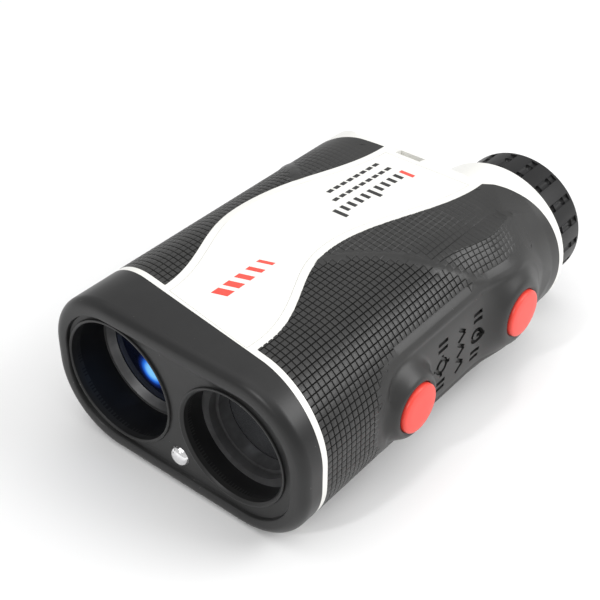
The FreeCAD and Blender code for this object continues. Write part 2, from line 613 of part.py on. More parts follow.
keep(block(
    "led_board_part", ("dims.dome_x - dims.led_board_side / 2", "dims.dome_x + dims.led_board_side / 2"),
    ("dims.led_board", "dims.led_board + dims.led_board_thick"), ("dims.led_board_low", "dims.led_board_high"),
), "indicator_board")

# buttons, their springs, switches and board ----------------------------------------------------------
board_face = "dims.board_x + dims.board_thick"
plunger_top = f"{board_face} + dims.switch_thick + dims.plunger_rise"
stem_end = f"{plunger_top} + dims.button_travel + dims.stem_clear"
flange_front = "dims.flange_seat - dims.flange_gap"
flange_back = f"{flange_front} - dims.flange_thick"
for which in ("mode", "power"):
    place = (f"dims.{which}_y", CENTRE_Z)
    cap = rod(which + "_cap", "X", "dims.button_r", flange_back, "dims.button_face", place)
    soft = fillet(which + "_cap_round", cap, size("button_round"), on_plane("X", size("button_face")))
    flange = rod(which + "_flange", "X", "dims.flange_r", flange_back, flange_front, place)
    stem = rod(which + "_stem", "X", "dims.stem_r", stem_end, "dims.flange_seat", place)
    keep(fuse(which + "_button_part", soft, flange, stem), which + "_button")
    ring = rod(which + "_spring_ring", "X", "dims.spring_r", board_face, flange_back, place)
    spring_bore_r = "dims.spring_r - dims.spring_wall"
    bore = rod(which + "_spring_bore", "X", spring_bore_r, "dims.board_x", flange_front, place)
    keep(cut(which + "_spring_part", ring, bore), which + "_spring")
    half = "dims.switch_side / 2"
    case = block(
        which + "_switch_case", (board_face, f"{board_face} + dims.switch_thick"),
        (f"dims.{which}_y - {half}", f"dims.{which}_y + {half}"), (f"{CENTRE_Z} - {half}", f"{CENTRE_Z} + {half}"),
    )
    plunger = rod(which + "_plunger", "X", "dims.plunger_r", board_face, plunger_top, place)
    keep(fuse(which + "_switch_part", case, plunger), which + "_switch")
keep(block(
    "button_board_part", ("dims.board_x", board_face),
    ("dims.deck_front + dims.board_margin", "dims.board_back"), ("dims.board_low", "dims.board_high"),
), "button_board")

# eyepiece --------------------------------------------------------------------------------------------
keep(turned(
    "eyepiece_tube_part", eye, [("dims.tube_front", "dims.tube_end", "dims.tube_r")],
    [("dims.tube_front - dims.past", "dims.tube_end + dims.past", "dims.tube_bore")],
), "eyepiece_tube")
ring = turned(
    "ring_blank", eye, [("dims.ring_front", "dims.ring_end", "dims.ring_r")],
    [
        ("dims.ring_front - dims.past", "dims.ring_end - dims.ring_lip", "dims.tube_r + dims.fit_gap"),
        ("dims.ring_front", "dims.ring_end + dims.past", "dims.ring_lip_r"),
    ],
)
ring_ends = [size("front") + size("ring_front"), size("front") + size("ring_end")]
outer_r = size("ring_r") - size("fit_gap")
doc.recompute()
ring_soft = add("Chamfer", "ring_soft")
ring_soft.Base = ring
ring_soft.Edges = [
    (i + 1, size("ring_chamfer"), size("ring_chamfer"))
    for i, edge in enumerate(ring.Shape.Edges)
    if any(on_plane("Y", place)(edge) for place in ring_ends) and edge.Curve.Radius > outer_r
]
grooves = []
for i in range(int(size("groove_count"))):
    across = round_axis("dims.eye_x", "dims.ring_r + dims.groove_r - dims.groove_sink", i, "dims.groove_count")
    start, end = "dims.ring_front + dims.groove_end", "dims.ring_end - dims.groove_end"
    grooves.append(rod(f"groove{i}", "Y", "dims.groove_r", start, end, across))
keep(cut("dioptre_ring_part", ring_soft, *grooves), "dioptre_ring")
cup_root = rod("cup_root", "Y", "dims.cup_root_r", "dims.cup_root", "dims.cup_end", eye)
cup_lip = rod("cup_lip", "Y", "dims.cup_r", "dims.ring_end", "dims.cup_end", eye)
cup_bore = rod("cup_bore", "Y", "dims.cup_bore", "dims.ring_front", "dims.long_room", eye)
keep(cut("cup_part", fuse("cup_outer", cup_root, cup_lip), cup_bore), "eyecup")
eye_lens_room = "dims.cell_end - dims.ledge - dims.eye_lens_edge - dims.eye_bulge"
keep(turned(
    "cell_part", eye, [("dims.cell_front", "dims.cell_end", "dims.tube_bore - dims.fit_gap")],
    [
        ("dims.cell_front - dims.past", "dims.cell_end + dims.past", "dims.cell_bore - dims.cell_ledge"),
        (eye_lens_room, "dims.cell_end + dims.past", "dims.cell_bore"),
    ],
), "eyepiece_cell")
eye_lens_at = "dims.cell_end - dims.lens_sink - dims.eye_lens_edge"
keep(lens("eye_lens_part", eye, "dims.cell_bore", eye_lens_at, "dims.eye_lens_edge", "dims.eye_bulge"), "eye_lens")
keep(lens(
    "field_lens_part", eye, "dims.tube_bore", "dims.field_lens_at", "dims.field_lens_edge", "dims.field_bulge",
), "field_lens")

# optics inside ---------------------------------------------------------------------------------------
half = "dims.prism_side / 2"
roof_start = "dims.prism_at + dims.half_prism_len + dims.prism_gap"


def optic_block(name, label, start, length):
    """Prism block with its slanted face cut across one corner."""
    x = (f"dims.eye_x - {half}", f"dims.eye_x + {half}")
    z = (f"{CENTRE_Z} - {half}", f"{CENTRE_Z} + {half}")
    glass = block(name, x, (start, f"{start} + {length}"), z)
    corner = block(name + "_corner", ("0", "dims.prism_side * 2"), ("0", "dims.prism_side * 2"), z)
    corner.Placement.Rotation = FreeCAD.Rotation(FreeCAD.Vector(0, 0, 1), 45)
    side_at = f"dims.eye_x + {half} * dims.prism_cut_side"
    bind(corner, At=(side_at, f"{start} + {length} * dims.prism_cut_at", f"{CENTRE_Z} - {half}"))
    return keep(cut(name + "_part", glass, corner), label)


optic_block("half_penta", "half_penta_prism", "dims.prism_at", "dims.half_prism_len")
optic_block("roof", "roof_prism", roof_start, "dims.roof_prism_len")
grow = "(dims.prism_side / 2 + dims.prism_gap)"
cradle_x = (f"dims.eye_x - {grow} - dims.cradle_wall", f"dims.eye_x + {grow} + dims.cradle_wall")
cradle_z = (f"{CENTRE_Z} - {grow} - dims.cradle_wall", f"{CENTRE_Z} + {grow} - dims.cradle_open")
cradle = block("cradle", cradle_x, ("dims.cradle_front", "dims.cradle_back"), cradle_z)
cradle_room = block(
    "cradle_room", (f"dims.eye_x - {grow}", f"dims.eye_x + {grow}"),
    ("dims.cradle_front + dims.cradle_wall", "dims.cradle_back - dims.cradle_wall"),
    (f"{CENTRE_Z} - {grow} + dims.prism_gap", "dims.half_room"),
)
cradle_view = rod("cradle_view", "Y", "dims.view_r", "dims.cradle_front - dims.past", "dims.long_room", eye)
keep(cut("cradle_part", cradle, cradle_room, cradle_view), "prism_cradle")
side = "dims.display_side / 2"
keep(block(
    "display_part", (f"dims.eye_x - {side}", f"dims.eye_x + {side}"),
    ("dims.display_at", "dims.display_at + dims.display_thick"), (f"{CENTRE_Z} - {side}", f"{CENTRE_Z} + {side}"),
), "reticle_display")
holder_half = "dims.holder_side / 2"
laser_end = "dims.laser_y + dims.laser_len"
holder = block(
    "laser_holder_block", (f"dims.eye_x - {holder_half}", f"dims.eye_x + {holder_half}"), ("dims.laser_y", laser_end),
    (f"dims.laser_z - {holder_half} + dims.holder_flat", f"dims.laser_z + {holder_half}"),
)
laser = ("dims.eye_x", "dims.laser_z")
laser_hole = rod("laser_hole", "Y", "dims.laser_r", "dims.laser_y - dims.past", f"{laser_end} + dims.past", laser)
keep(cut("laser_holder_part", holder, laser_hole), "laser_holder")
keep(rod("laser_part", "Y", "dims.laser_r", "dims.laser_y + dims.ledge", laser_end, laser), "laser_diode")
holder_end = "dims.sensor_at + dims.holder_len"
keep(turned(
    "sensor_holder_part", left, [("dims.sensor_at", holder_end, "dims.holder_r")],
    [("dims.sensor_at - dims.past", f"{holder_end} + dims.past", "dims.sensor_can_r + dims.sensor_gap")],
), "sensor_holder")
board_half = "dims.sensor_board_side / 2"
sensor_face = f"{holder_end} - dims.sensor_can_len"
keep(rod("sensor_part", "Y", "dims.sensor_can_r", sensor_face, holder_end, left), "photodiode")
keep(block(
    "sensor_board_part", (f"dims.left_x - {board_half}", f"dims.left_x + {board_half}"),
    (holder_end, f"{holder_end} + dims.sensor_board"), (f"{CENTRE_Z} - {board_half}", f"{CENTRE_Z} + {board_half}"),
), "receiver_board")

# electronics -----------------------------------------------------------------------------------------
keep(block(
    "main_board_part", ("dims.main_x", "dims.main_x + dims.main_thick"), ("dims.main_front", "dims.main_back"),
    ("dims.main_low", "dims.main_high"),
), "main_board")
chip_x = ("dims.main_x + dims.main_thick", "dims.main_x + dims.main_thick + dims.chip_thick")
keep(block(
    "processor_part", chip_x, ("dims.chip_front", "dims.chip_front + dims.chip_side"),
    ("dims.chip_low", "dims.chip_low + dims.chip_side"),
), "processor")
keep(rod(
    "storage_capacitor_part", "Y", "dims.capacitor_r", "dims.capacitor_front", "dims.capacitor_back",
    ("dims.main_x - dims.capacitor_r", "dims.capacitor_z"),
), "storage_capacitor")

# battery, tube and cap -------------------------------------------------------------------------------
tube_start = "dims.battery_at - dims.nub_len - dims.contact_thick - dims.tube_floor"
mouth = "dims.body_rear + dims.hole_gap"
keep(turned(
    "battery_tube_part", battery_axis, [(tube_start, mouth, "dims.battery_tube_r")],
    [
        (f"{tube_start} + dims.tube_floor", f"{mouth} + dims.past", "dims.battery_bore"),
        (f"{mouth} - dims.mouth_len", f"{mouth} + dims.past", "dims.mouth_bore"),
    ],
), "battery_tube")
contact_start = f"{tube_start} + dims.tube_floor"
contact_end = f"{contact_start} + dims.contact_thick"
keep(rod("front_contact_part", "Y", "dims.contact_r", contact_start, contact_end, battery_axis), "front_contact")
battery_back = "dims.battery_at + dims.battery_len - dims.nub_len"
nub = rod("nub", "Y", "dims.nub_r", "dims.battery_at - dims.nub_len", "dims.battery_at", battery_axis)
can = rod("can", "Y", "dims.battery_r", "dims.battery_at", battery_back, battery_axis)
keep(fuse("battery_part", nub, can), "battery")
pad_start = f"{battery_back} + dims.fit_gap"
plate_end = "dims.body_rear - dims.rear_contact_in"
keep(turned(
    "rear_contact_part", battery_axis,
    [
        (pad_start, f"{pad_start} + dims.contact_thick", "dims.rear_pad_r"),
        (pad_start, plate_end, "dims.rear_stem_r"),
        (f"{plate_end} - dims.rear_contact_thick", plate_end, "dims.rear_contact_r"),
    ],
    [],
), "rear_contact")
skirt_front = f"{mouth} - dims.mouth_len + dims.skirt_short"
cap_start = f"{mouth} + dims.cap_gap"
cap_end = f"{cap_start} + dims.cap_head"
cap_blank = turned(
    "cap_blank", battery_axis,
    [(skirt_front, cap_end, "dims.mouth_bore - dims.fit_gap"), (cap_start, cap_end, "dims.cap_r")],
    [(f"{skirt_front} - dims.past", "dims.body_rear - dims.cap_floor_in", "dims.cap_skirt_bore")],
)
seal_front = f"{cap_start} - dims.seal_back - dims.seal_height"
seal_end = f"{seal_front} + dims.seal_height"
seal_hole = [(f"{seal_front} - dims.past", f"{seal_end} + dims.past", "dims.mouth_bore - dims.seal_width")]
seal_room = turned("seal_room", battery_axis, [(seal_front, seal_end, "dims.mouth_bore")], seal_hole)
coin_slot = block(
    "coin_slot", ("dims.battery_x - dims.coin_slot_len / 2", "dims.battery_x + dims.coin_slot_len / 2"),
    (f"{cap_end} - dims.cap_slot_depth", f"{cap_end} + dims.past"),
    (f"{CENTRE_Z} - dims.cap_slot_width / 2", f"{CENTRE_Z} + dims.cap_slot_width / 2"),
)
notches = []
for i in range(int(size("cap_notches"))):
    across = round_axis("dims.battery_x", "dims.cap_r + dims.notch_r / 2", i, "dims.cap_notches")
    start, end = f"{cap_start} + dims.notch_start", f"{cap_end} + dims.past"
    notches.append(rod(f"notch{i}", "Y", "dims.notch_r", start, end, across))
keep(cut("battery_cap_part", cap_blank, seal_room, coin_slot, *notches), "battery_cap")
seal_outline = [(seal_front, seal_end, "dims.mouth_bore - dims.fit_gap")]
keep(turned("cap_seal_part", battery_axis, seal_outline, seal_hole), "cap_seal")

# check and write -------------------------------------------------------------------------------------
doc.recompute()
for piece in doc.Objects:
    if "Invalid" in piece.State or "Error" in piece.State:
        raise RuntimeError(f"{piece.Name} failed: {piece.State}")
os.makedirs("parts", exist_ok=True)
for piece in kept:
    shape = piece.Shape
    if shape.isNull() or not shape.isValid() or not shape.Solids:
        raise RuntimeError(f"{piece.Label} has no valid solid")
    shape.exportStep(os.path.join("parts", piece.Label + ".step"))
    print(f"{piece.Label:24s} solids {len(shape.Solids)}  volume {shape.Volume:9.1f}")
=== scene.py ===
import math

import bmesh
import bpy
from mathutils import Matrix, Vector


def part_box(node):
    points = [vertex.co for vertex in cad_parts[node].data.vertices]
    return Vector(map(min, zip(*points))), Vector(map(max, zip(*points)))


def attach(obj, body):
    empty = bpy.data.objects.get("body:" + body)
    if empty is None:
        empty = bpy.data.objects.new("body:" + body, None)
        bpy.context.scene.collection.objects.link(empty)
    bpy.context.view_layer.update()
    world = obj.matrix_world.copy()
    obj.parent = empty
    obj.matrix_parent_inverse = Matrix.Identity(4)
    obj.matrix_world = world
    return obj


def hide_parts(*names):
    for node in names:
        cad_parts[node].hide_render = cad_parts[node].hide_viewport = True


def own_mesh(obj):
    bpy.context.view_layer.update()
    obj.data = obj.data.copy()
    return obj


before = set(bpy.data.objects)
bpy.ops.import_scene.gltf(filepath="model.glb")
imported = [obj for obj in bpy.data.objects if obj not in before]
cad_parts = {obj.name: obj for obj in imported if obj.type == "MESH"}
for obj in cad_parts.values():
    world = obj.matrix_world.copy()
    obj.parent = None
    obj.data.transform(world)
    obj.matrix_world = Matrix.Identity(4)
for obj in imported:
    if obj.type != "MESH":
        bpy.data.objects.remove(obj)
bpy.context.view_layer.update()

# Pocket laser rangefinder, lying on its side. Metres, in the frame of the model:
# +X is the side with the buttons, +Y runs from the front windows to the eyepiece, +Z is up.

MM = 0.001


def middle_of(node):
    low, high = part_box(node)
    return (low + high) / 2


# body
HALF_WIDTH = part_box("upper_cover")[1].x
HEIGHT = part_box("upper_cover")[1].z
MIDDLE_Z = HEIGHT / 2
CORNER = 17 * MM
FLAT = HALF_WIDTH - CORNER
TURN = CORNER * math.pi / 2
SIDE = HEIGHT - 2 * CORNER
ROUND_BODY = 2 * FLAT + 2 * TURN + SIDE
LIP = 1.05 * MM
NOSE_ROUND = 2.3 * MM
BUMPER_WALL = 1.55 * MM
FACE_THICK = 2.2 * MM
PAST = 5 * MM
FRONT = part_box("front_bumper")[0].y + LIP
DOME_RADIUS = 2.45 * MM
SEAM = 9.1 * MM
SEAM_SLOPE = 0.138
WHITE_RING = 1.5 * MM
EYE = middle_of("dioptre_ring")
NECK_RADIUS = HEIGHT / 2 - 0.05 * MM
NECK_AT = 92 * MM
NECK_FLARE = 0.1

# white band between the grips
WAVE_MIDDLE = 44.5 * MM
WAVE_REACH = {"front": 32.5 * MM, "back": 43.5 * MM}
WAVE_EDGE = {
    1: {"front": 15.2 * MM, "middle": 5.0 * MM, "back": 16.0 * MM},
    -1: {"front": -13.2 * MM, "middle": -22.0 * MM, "back": -11.9 * MM},
}

# grips: tiles, ridge, button deck
TILE_AROUND = ROUND_BODY / 60
TILE_ALONG = 1.52 * MM
TILE_ROWS = 60
GRIP_DEPTH = 1.3 * MM
GROOVE_HALF = 0.16 * MM
GROOVE_DEPTH = 0.4 * MM
PILLOW = 0.28 * MM
PILLOW_RISE = 0.055 * MM
TILE_FADE = 0.1 * MM
RIDGE_HALF = 1.9 * MM
RIDGE_RISE = 0.26 * MM
RIDGE_STOPS = [
    (3, 35), (6, 39.8), (8, 43), (12.2, 47.4), (17, 50.8), (22, 53), (26.5, 55.8), (31, 60), (36, 66),
]
REAR_STRENGTH = 0.45
REAR_FADE = (60 * MM, 88 * MM)
DECK_FACE = 33.6 * MM
DECK_START = 25.6 * MM
DECK_END = 84 * MM
DECK_TOP = 36.5 * MM
DECK_CORNER = 7 * MM
RIM_WIDTH = 3.4 * MM
RIM_RISE = 0.1 * MM
MODE = middle_of("mode_button")
POWER = middle_of("power_button")
MOUND_TOP = 37.2 * MM
MOUND_BRIM = {"mode": 7.0 * MM, "power": 7.4 * MM}
MOUND_SLOPE = {"mode": 1.45, "power": 0.86}
MOUND_BLEND = {"mode": 1.4 * MM, "power": 2.6 * MM}
MOUND_REACH = 12 * MM
BUTTON_RADIUS = 5.7 * MM
BUTTON_HOLE = BUTTON_RADIUS + 0.15 * MM
FLANGE_THICK = 1.0 * MM
FLANGE_UP_STEM = 2.6 * MM
STEM_RADIUS = 1.8 * MM
SPRING_WALL = 0.8 * MM
MARK_LINE = 1.0 * MM
MARK_DEPTH = 0.6 * MM

# dioptre ring and battery cap
RING_RADIUS = 16.9 * MM
RING_BORE = 14.05 * MM
RING_LIP_BORE = 12.9 * MM
RING_GROOVES = 18
CAP_RADIUS = 10.05 * MM
CAP_SKIRT = 8.85 * MM
CAP_BORE = 7.7 * MM
CAP_NOTCHES = 12
COIN_SLOT = (11.2 * MM, 2.0 * MM, 1.2 * MM)


# tools of the bench --------------------------------------------------------------------------------------
def only(piece):
    """Make one piece the only selected one."""
    bpy.ops.object.select_all(action="DESELECT")
    piece.select_set(True)
    bpy.context.view_layer.objects.active = piece


def named(name):
    piece = bpy.context.active_object
    piece.name = name
    piece.data.name = name
    return piece


def edit(piece, kind="FACE", everything=False):
    only(piece)
    bpy.ops.object.mode_set(mode="EDIT")
    bpy.ops.mesh.select_mode(type=kind)
    bpy.ops.mesh.select_all(action="SELECT" if everything else "DESELECT")


def leave():
    bpy.ops.object.mode_set(mode="OBJECT")


def pick(piece, wanted, parts="faces"):
    """In edit mode, select the faces, edges or corners that wanted(part) accepts."""
    mesh = bmesh.from_edit_mesh(piece.data)
    for part in getattr(mesh, parts):
        part.select_set(bool(wanted(part)))
    mesh.select_flush_mode()
    bmesh.update_edit_mesh(piece.data)
    return mesh


def modify(piece, kind, **values):
    """Give a piece a modifier and apply it."""
    only(piece)
    bpy.ops.object.modifier_add(type=kind)
    modifier = piece.modifiers[-1]
    for name, value in values.items():
        setattr(modifier, name, value)
    bpy.ops.object.modifier_apply(modifier=modifier.name)
    return piece


def combine(piece, other, operation="DIFFERENCE"):
    """Cut, join or meet a piece with another solid, which is used up."""
    modify(piece, "BOOLEAN", object=other, operation=operation, solver="MANIFOLD")
    bpy.data.objects.remove(other)
    return piece


def smooth(piece, degrees=35):
    only(piece)
    bpy.ops.object.shade_smooth_by_angle(angle=math.radians(degrees))
    return piece


def outwards(piece):
    """Merge doubled corners and turn every face outwards."""
    edit(piece, "VERT", True)
    bpy.ops.mesh.remove_doubles(threshold=0.002 * MM)
    bpy.ops.mesh.dissolve_degenerate(threshold=0.002 * MM)
    bpy.ops.mesh.select_all(action="SELECT")
    bpy.ops.mesh.normals_make_consistent(inside=False)
    leave()
    return piece


def eased(outline, steps=4):
    """A closed outline of (a, b, rounding) with each corner turned into a short arc."""
    points = []
    for i, (a, b, rounding) in enumerate(outline):
        corner = Vector((a, b))
        if rounding == 0:
            points.append(corner)
            continue
        before = Vector(outline[i - 1][:2]) - corner
        after = Vector(outline[(i + 1) % len(outline)][:2]) - corner
        reach = min(rounding, before.length * 0.49, after.length * 0.49)
        start = corner + before.normalized() * reach
        end = corner + after.normalized() * reach
        for step in range(steps + 1):
            part = step / steps
            points.append(start * (1 - part) ** 2 + corner * 2 * part * (1 - part) + end * part**2)
    return points


def turned(name, outline, middle, axis="Y", steps=96):
    """A closed outline of (place along the axis, radius, rounding), spun once round the axis."""
    points = eased(outline)
    bpy.ops.object.select_all(action="DESELECT")
    bpy.ops.mesh.primitive_circle_add(vertices=len(points), radius=MM)
    piece = named(name)
    for corner, (along, radius) in zip(piece.data.vertices, points):
        if axis == "Y":
            corner.co = (middle.x, along, middle.z + radius)
        else:
            corner.co = (along, middle.y, middle.z + radius)
    edit(piece, "EDGE", True)
    bpy.ops.mesh.spin(
        steps=steps, angle=2 * math.pi, center=middle, axis=(axis == "X", axis == "Y", 0), use_auto_merge=True,
    )
    leave()
    outwards(piece)
    return smooth(piece)


def pulled(name, outline, low, high):
    """A plan outline, each corner set in its place, pulled up to a block."""
    bpy.ops.object.select_all(action="DESELECT")
    bpy.ops.mesh.primitive_circle_add(vertices=len(outline), radius=MM, fill_type="NGON")
    piece = named(name)
    for corner, (x, y) in zip(piece.data.vertices, outline):
        corner.co = (x, y, low)
    edit(piece, "FACE", True)
    bpy.ops.mesh.extrude_region_move(TRANSFORM_OT_translate={"value": (0, 0, high - low)})
    bpy.ops.mesh.select_all(action="SELECT")
    bpy.ops.mesh.normals_make_consistent(inside=False)
    leave()
    return piece


def rod(name, middle, radius, start, end, axis="Y", sides=64):
    """A plain round cutter along an axis."""
    bpy.ops.object.select_all(action="DESELECT")
    place = Vector(middle)
    place["XYZ".index(axis)] = (start + end) / 2
    turn = {"X": (0, math.pi / 2, 0), "Y": (math.pi / 2, 0, 0), "Z": (0, 0, 0)}[axis]
    bpy.ops.mesh.primitive_cylinder_add(
        vertices=sides, radius=radius, depth=end - start, location=place, rotation=turn,
    )
    piece = named(name)
    bpy.ops.object.transform_apply(location=True, rotation=True, scale=True)
    return piece


def slab(name, low, high):
    """A plain block between two corners."""
    bpy.ops.object.select_all(action="DESELECT")
    size = Vector(high) - Vector(low)
    bpy.ops.mesh.primitive_cube_add(size=1, location=Vector(low) + size / 2, scale=size)
    piece = named(name)
    bpy.ops.object.transform_apply(location=True, rotation=True, scale=True)
    return piece


def body_bar(name, inset, start, end, segments=24):
    """The body's rounded section, drawn in by an inset, as a bar along Y."""
    bar = slab(name, (inset - HALF_WIDTH, start, inset), (HALF_WIDTH - inset, end, HEIGHT - inset))
    edit(bar, "EDGE")
    pick(bar, lambda edge: abs(edge.verts[0].co.y - edge.verts[1].co.y) > MM, "edges")
    bpy.ops.mesh.bevel(offset=CORNER - inset, segments=segments, affect="EDGES")
    leave()
    return bar


def finished(piece, body, slot, *replaced):
    """Tie a finished piece to its body, its finish and the plain parts that it stands for."""
    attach(piece, body)
    piece.data.materials.clear()
    piece.data.materials.append(FINISHES[slot])
    if replaced:
        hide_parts(*replaced)
    return piece


# materials -----------------------------------------------------------------------------------------------
def shader_group(name, inputs, outputs):
    group = bpy.data.node_groups.new(name, "ShaderNodeTree")
    for label, value in inputs.items():
        socket = group.interface.new_socket(name=label, in_out="INPUT", socket_type="NodeSocketFloat")
        socket.default_value = value
    for label in outputs:
        group.interface.new_socket(name=label, in_out="OUTPUT", socket_type="NodeSocketFloat")
    return group, group.nodes.new("NodeGroupInput"), group.nodes.new("NodeGroupOutput")


def node(tree, kind, **values):
    """A node with settings by attribute name and socket values by number."""
    made = tree.nodes.new(kind)
    sockets = values.pop("sockets", {})
    for name, value in values.items():
        setattr(made, name, value)
    for key, value in sockets.items():
        made.inputs[key].default_value = value
    return made


def link(tree, source, target):
    tree.links.new(source, target)


def moulded_grain():
    """Fine sparkle of a moulded skin: small pits over a soft ripple. Height and a mottled mask."""
    inputs = {"Scale": 2500.0, "Ripple": 0.35}
    group, given, result = shader_group("moulded_grain", inputs, ["Height", "Mottle"])
    place = node(group, "ShaderNodeTexCoord")
    pits = node(group, "ShaderNodeTexVoronoi", feature="SMOOTH_F1", sockets={"Smoothness": 0.4})
    fine = node(group, "ShaderNodeTexNoise", sockets={"Detail": 3.0, "Roughness": 0.6})
    slower = node(group, "ShaderNodeMath", operation="MULTIPLY", sockets={1: 0.13})
    ripple = node(group, "ShaderNodeTexNoise", sockets={"Detail": 2.0})
    blend = node(group, "ShaderNodeMix", data_type="FLOAT")
    mixed = node(group, "ShaderNodeMix", data_type="FLOAT", sockets={0: 0.4})
    link(group, place.outputs["Object"], pits.inputs["Vector"])
    link(group, place.outputs["Object"], fine.inputs["Vector"])
    link(group, place.outputs["Object"], ripple.inputs["Vector"])
    link(group, given.outputs["Scale"], pits.inputs["Scale"])
    link(group, given.outputs["Scale"], fine.inputs["Scale"])
    link(group, given.outputs["Scale"], slower.inputs[0])
    link(group, slower.outputs[0], ripple.inputs["Scale"])
    link(group, pits.outputs["Distance"], mixed.inputs[2])
    link(group, fine.outputs["Fac"], mixed.inputs[3])
    link(group, given.outputs["Ripple"], blend.inputs[0])
    link(group, mixed.outputs[0], blend.inputs[2])
    link(group, ripple.outputs["Fac"], blend.inputs[3])
    link(group, blend.outputs[0], result.inputs["Height"])
    link(group, fine.outputs["Fac"], result.inputs["Mottle"])
    return group


def handling():
    """Broad, uneven marks that hands leave: a soft mask from 0 to 1."""
    group, given, result = shader_group("handling", {"Scale": 60.0}, ["Mask"])
    place = node(group, "ShaderNodeTexCoord")
    cloud = node(group, "ShaderNodeTexNoise", sockets={"Detail": 5.0, "Roughness": 0.55, "Distortion": 0.4})
    spread = node(group, "ShaderNodeMapRange", sockets={1: 0.35, 2: 0.65})
    link(group, place.outputs["Object"], cloud.inputs["Vector"])
    link(group, given.outputs["Scale"], cloud.inputs["Scale"])
    link(group, cloud.outputs["Fac"], spread.inputs[0])
    link(group, spread.outputs[0], result.inputs["Mask"])
    return group


def edge_wear():
    """Edges that are rubbed a little lighter, broken up by noise."""
    group, given, result = shader_group("edge_wear", {"Amount": 0.5}, ["Mask"])
    place = node(group, "ShaderNodeTexCoord")
    form = node(group, "ShaderNodeNewGeometry")
    edges = node(group, "ShaderNodeMapRange", sockets={1: 0.51, 2: 0.62})
    patchy = node(group, "ShaderNodeTexNoise", sockets={"Scale": 400.0, "Detail": 4.0})
    broken = node(group, "ShaderNodeMath", operation="MULTIPLY")
    amount = node(group, "ShaderNodeMath", operation="MULTIPLY", use_clamp=True)
    link(group, form.outputs["Pointiness"], edges.inputs[0])
    link(group, place.outputs["Object"], patchy.inputs["Vector"])
    link(group, edges.outputs[0], broken.inputs[0])
    link(group, patchy.outputs["Fac"], broken.inputs[1])
    link(group, broken.outputs[0], amount.inputs[0])
    link(group, given.outputs["Amount"], amount.inputs[1])
    link(group, amount.outputs[0], result.inputs["Mask"])
    return group


def dust():
    """A few tiny pale specks, with long bare stretches between them."""
    group, given, result = shader_group("dust", {"Scale": 900.0, "Size": 0.09}, ["Mask"])
    place = node(group, "ShaderNodeTexCoord")
    cells = node(group, "ShaderNodeTexVoronoi", feature="F1")
    speck = node(group, "ShaderNodeMath", operation="LESS_THAN")
    patches = node(group, "ShaderNodeTexNoise", sockets={"Scale": 150.0, "Detail": 2.0})
    sparse = node(group, "ShaderNodeMath", operation="GREATER_THAN", sockets={1: 0.6})
    both = node(group, "ShaderNodeMath", operation="MULTIPLY")
    link(group, place.outputs["Object"], cells.inputs["Vector"])
    link(group, place.outputs["Object"], patches.inputs["Vector"])
    link(group, given.outputs["Scale"], cells.inputs["Scale"])
    link(group, cells.outputs["Distance"], speck.inputs[0])
    link(group, given.outputs["Size"], speck.inputs[1])
    link(group, patches.outputs["Fac"], sparse.inputs[0])
    link(group, speck.outputs[0], both.inputs[0])
    link(group, sparse.outputs[0], both.inputs[1])
    link(group, both.outputs[0], result.inputs["Mask"])
    return group


def painted_coating_reflection():
    """Painted reflection: a patch of light thrown back by the blue coating, painted as a glow low in the
    receiving lens. A soft round mask.
    """
    group, given, result = shader_group("painted_coating_reflection", {"Reach": 5.0}, ["Mask"])
    middle = middle_of("left_barrel")
    spot = (middle.x - 0.5 * MM, 0, middle.z - 4.2 * MM)
    place = node(group, "ShaderNodeTexCoord")
    flat = node(group, "ShaderNodeVectorMath", operation="MULTIPLY", sockets={1: (1, 0, 1)})
    arm = node(group, "ShaderNodeVectorMath", operation="SUBTRACT", sockets={1: spot})
    length = node(group, "ShaderNodeVectorMath", operation="LENGTH")
    in_mm = node(group, "ShaderNodeMath", operation="MULTIPLY", sockets={1: 1 / MM})
    fade = node(group, "ShaderNodeMapRange", interpolation_type="SMOOTHSTEP", sockets={2: 1.2})
    link(group, place.outputs["Object"], flat.inputs[0])
    link(group, flat.outputs[0], arm.inputs[0])
    link(group, arm.outputs[0], length.inputs[0])
    link(group, length.outputs["Value"], in_mm.inputs[0])
    link(group, in_mm.outputs[0], fade.inputs[0])
    link(group, given.outputs["Reach"], fade.inputs[1])
    link(group, fade.outputs[0], result.inputs["Mask"])
    return group


GRAIN = moulded_grain()
# Painted reflection: the glowing patch on the receiving lens.
PAINTED_REFLECTION = painted_coating_reflection()
HANDLING = handling()
WEAR = edge_wear()
DUST = dust()


def group_node(tree, group, **values):
    made = tree.nodes.new("ShaderNodeGroup")
    made.node_tree = group
    for name, value in values.items():
        made.inputs[name].default_value = value
    return made


def colour_mix(tree, first, second, mask):
    """Mix of two colours by a mask; either colour may be a plain value or another node's output."""
    mix = node(tree, "ShaderNodeMix", data_type="RGBA")
    for socket, colour in ((mix.inputs[6], first), (mix.inputs[7], second)):
        if isinstance(colour, tuple):
            socket.default_value = (*colour, 1)
        else:
            link(tree, colour, socket)
    link(tree, mask, mix.inputs[0])
    return mix.outputs[2]


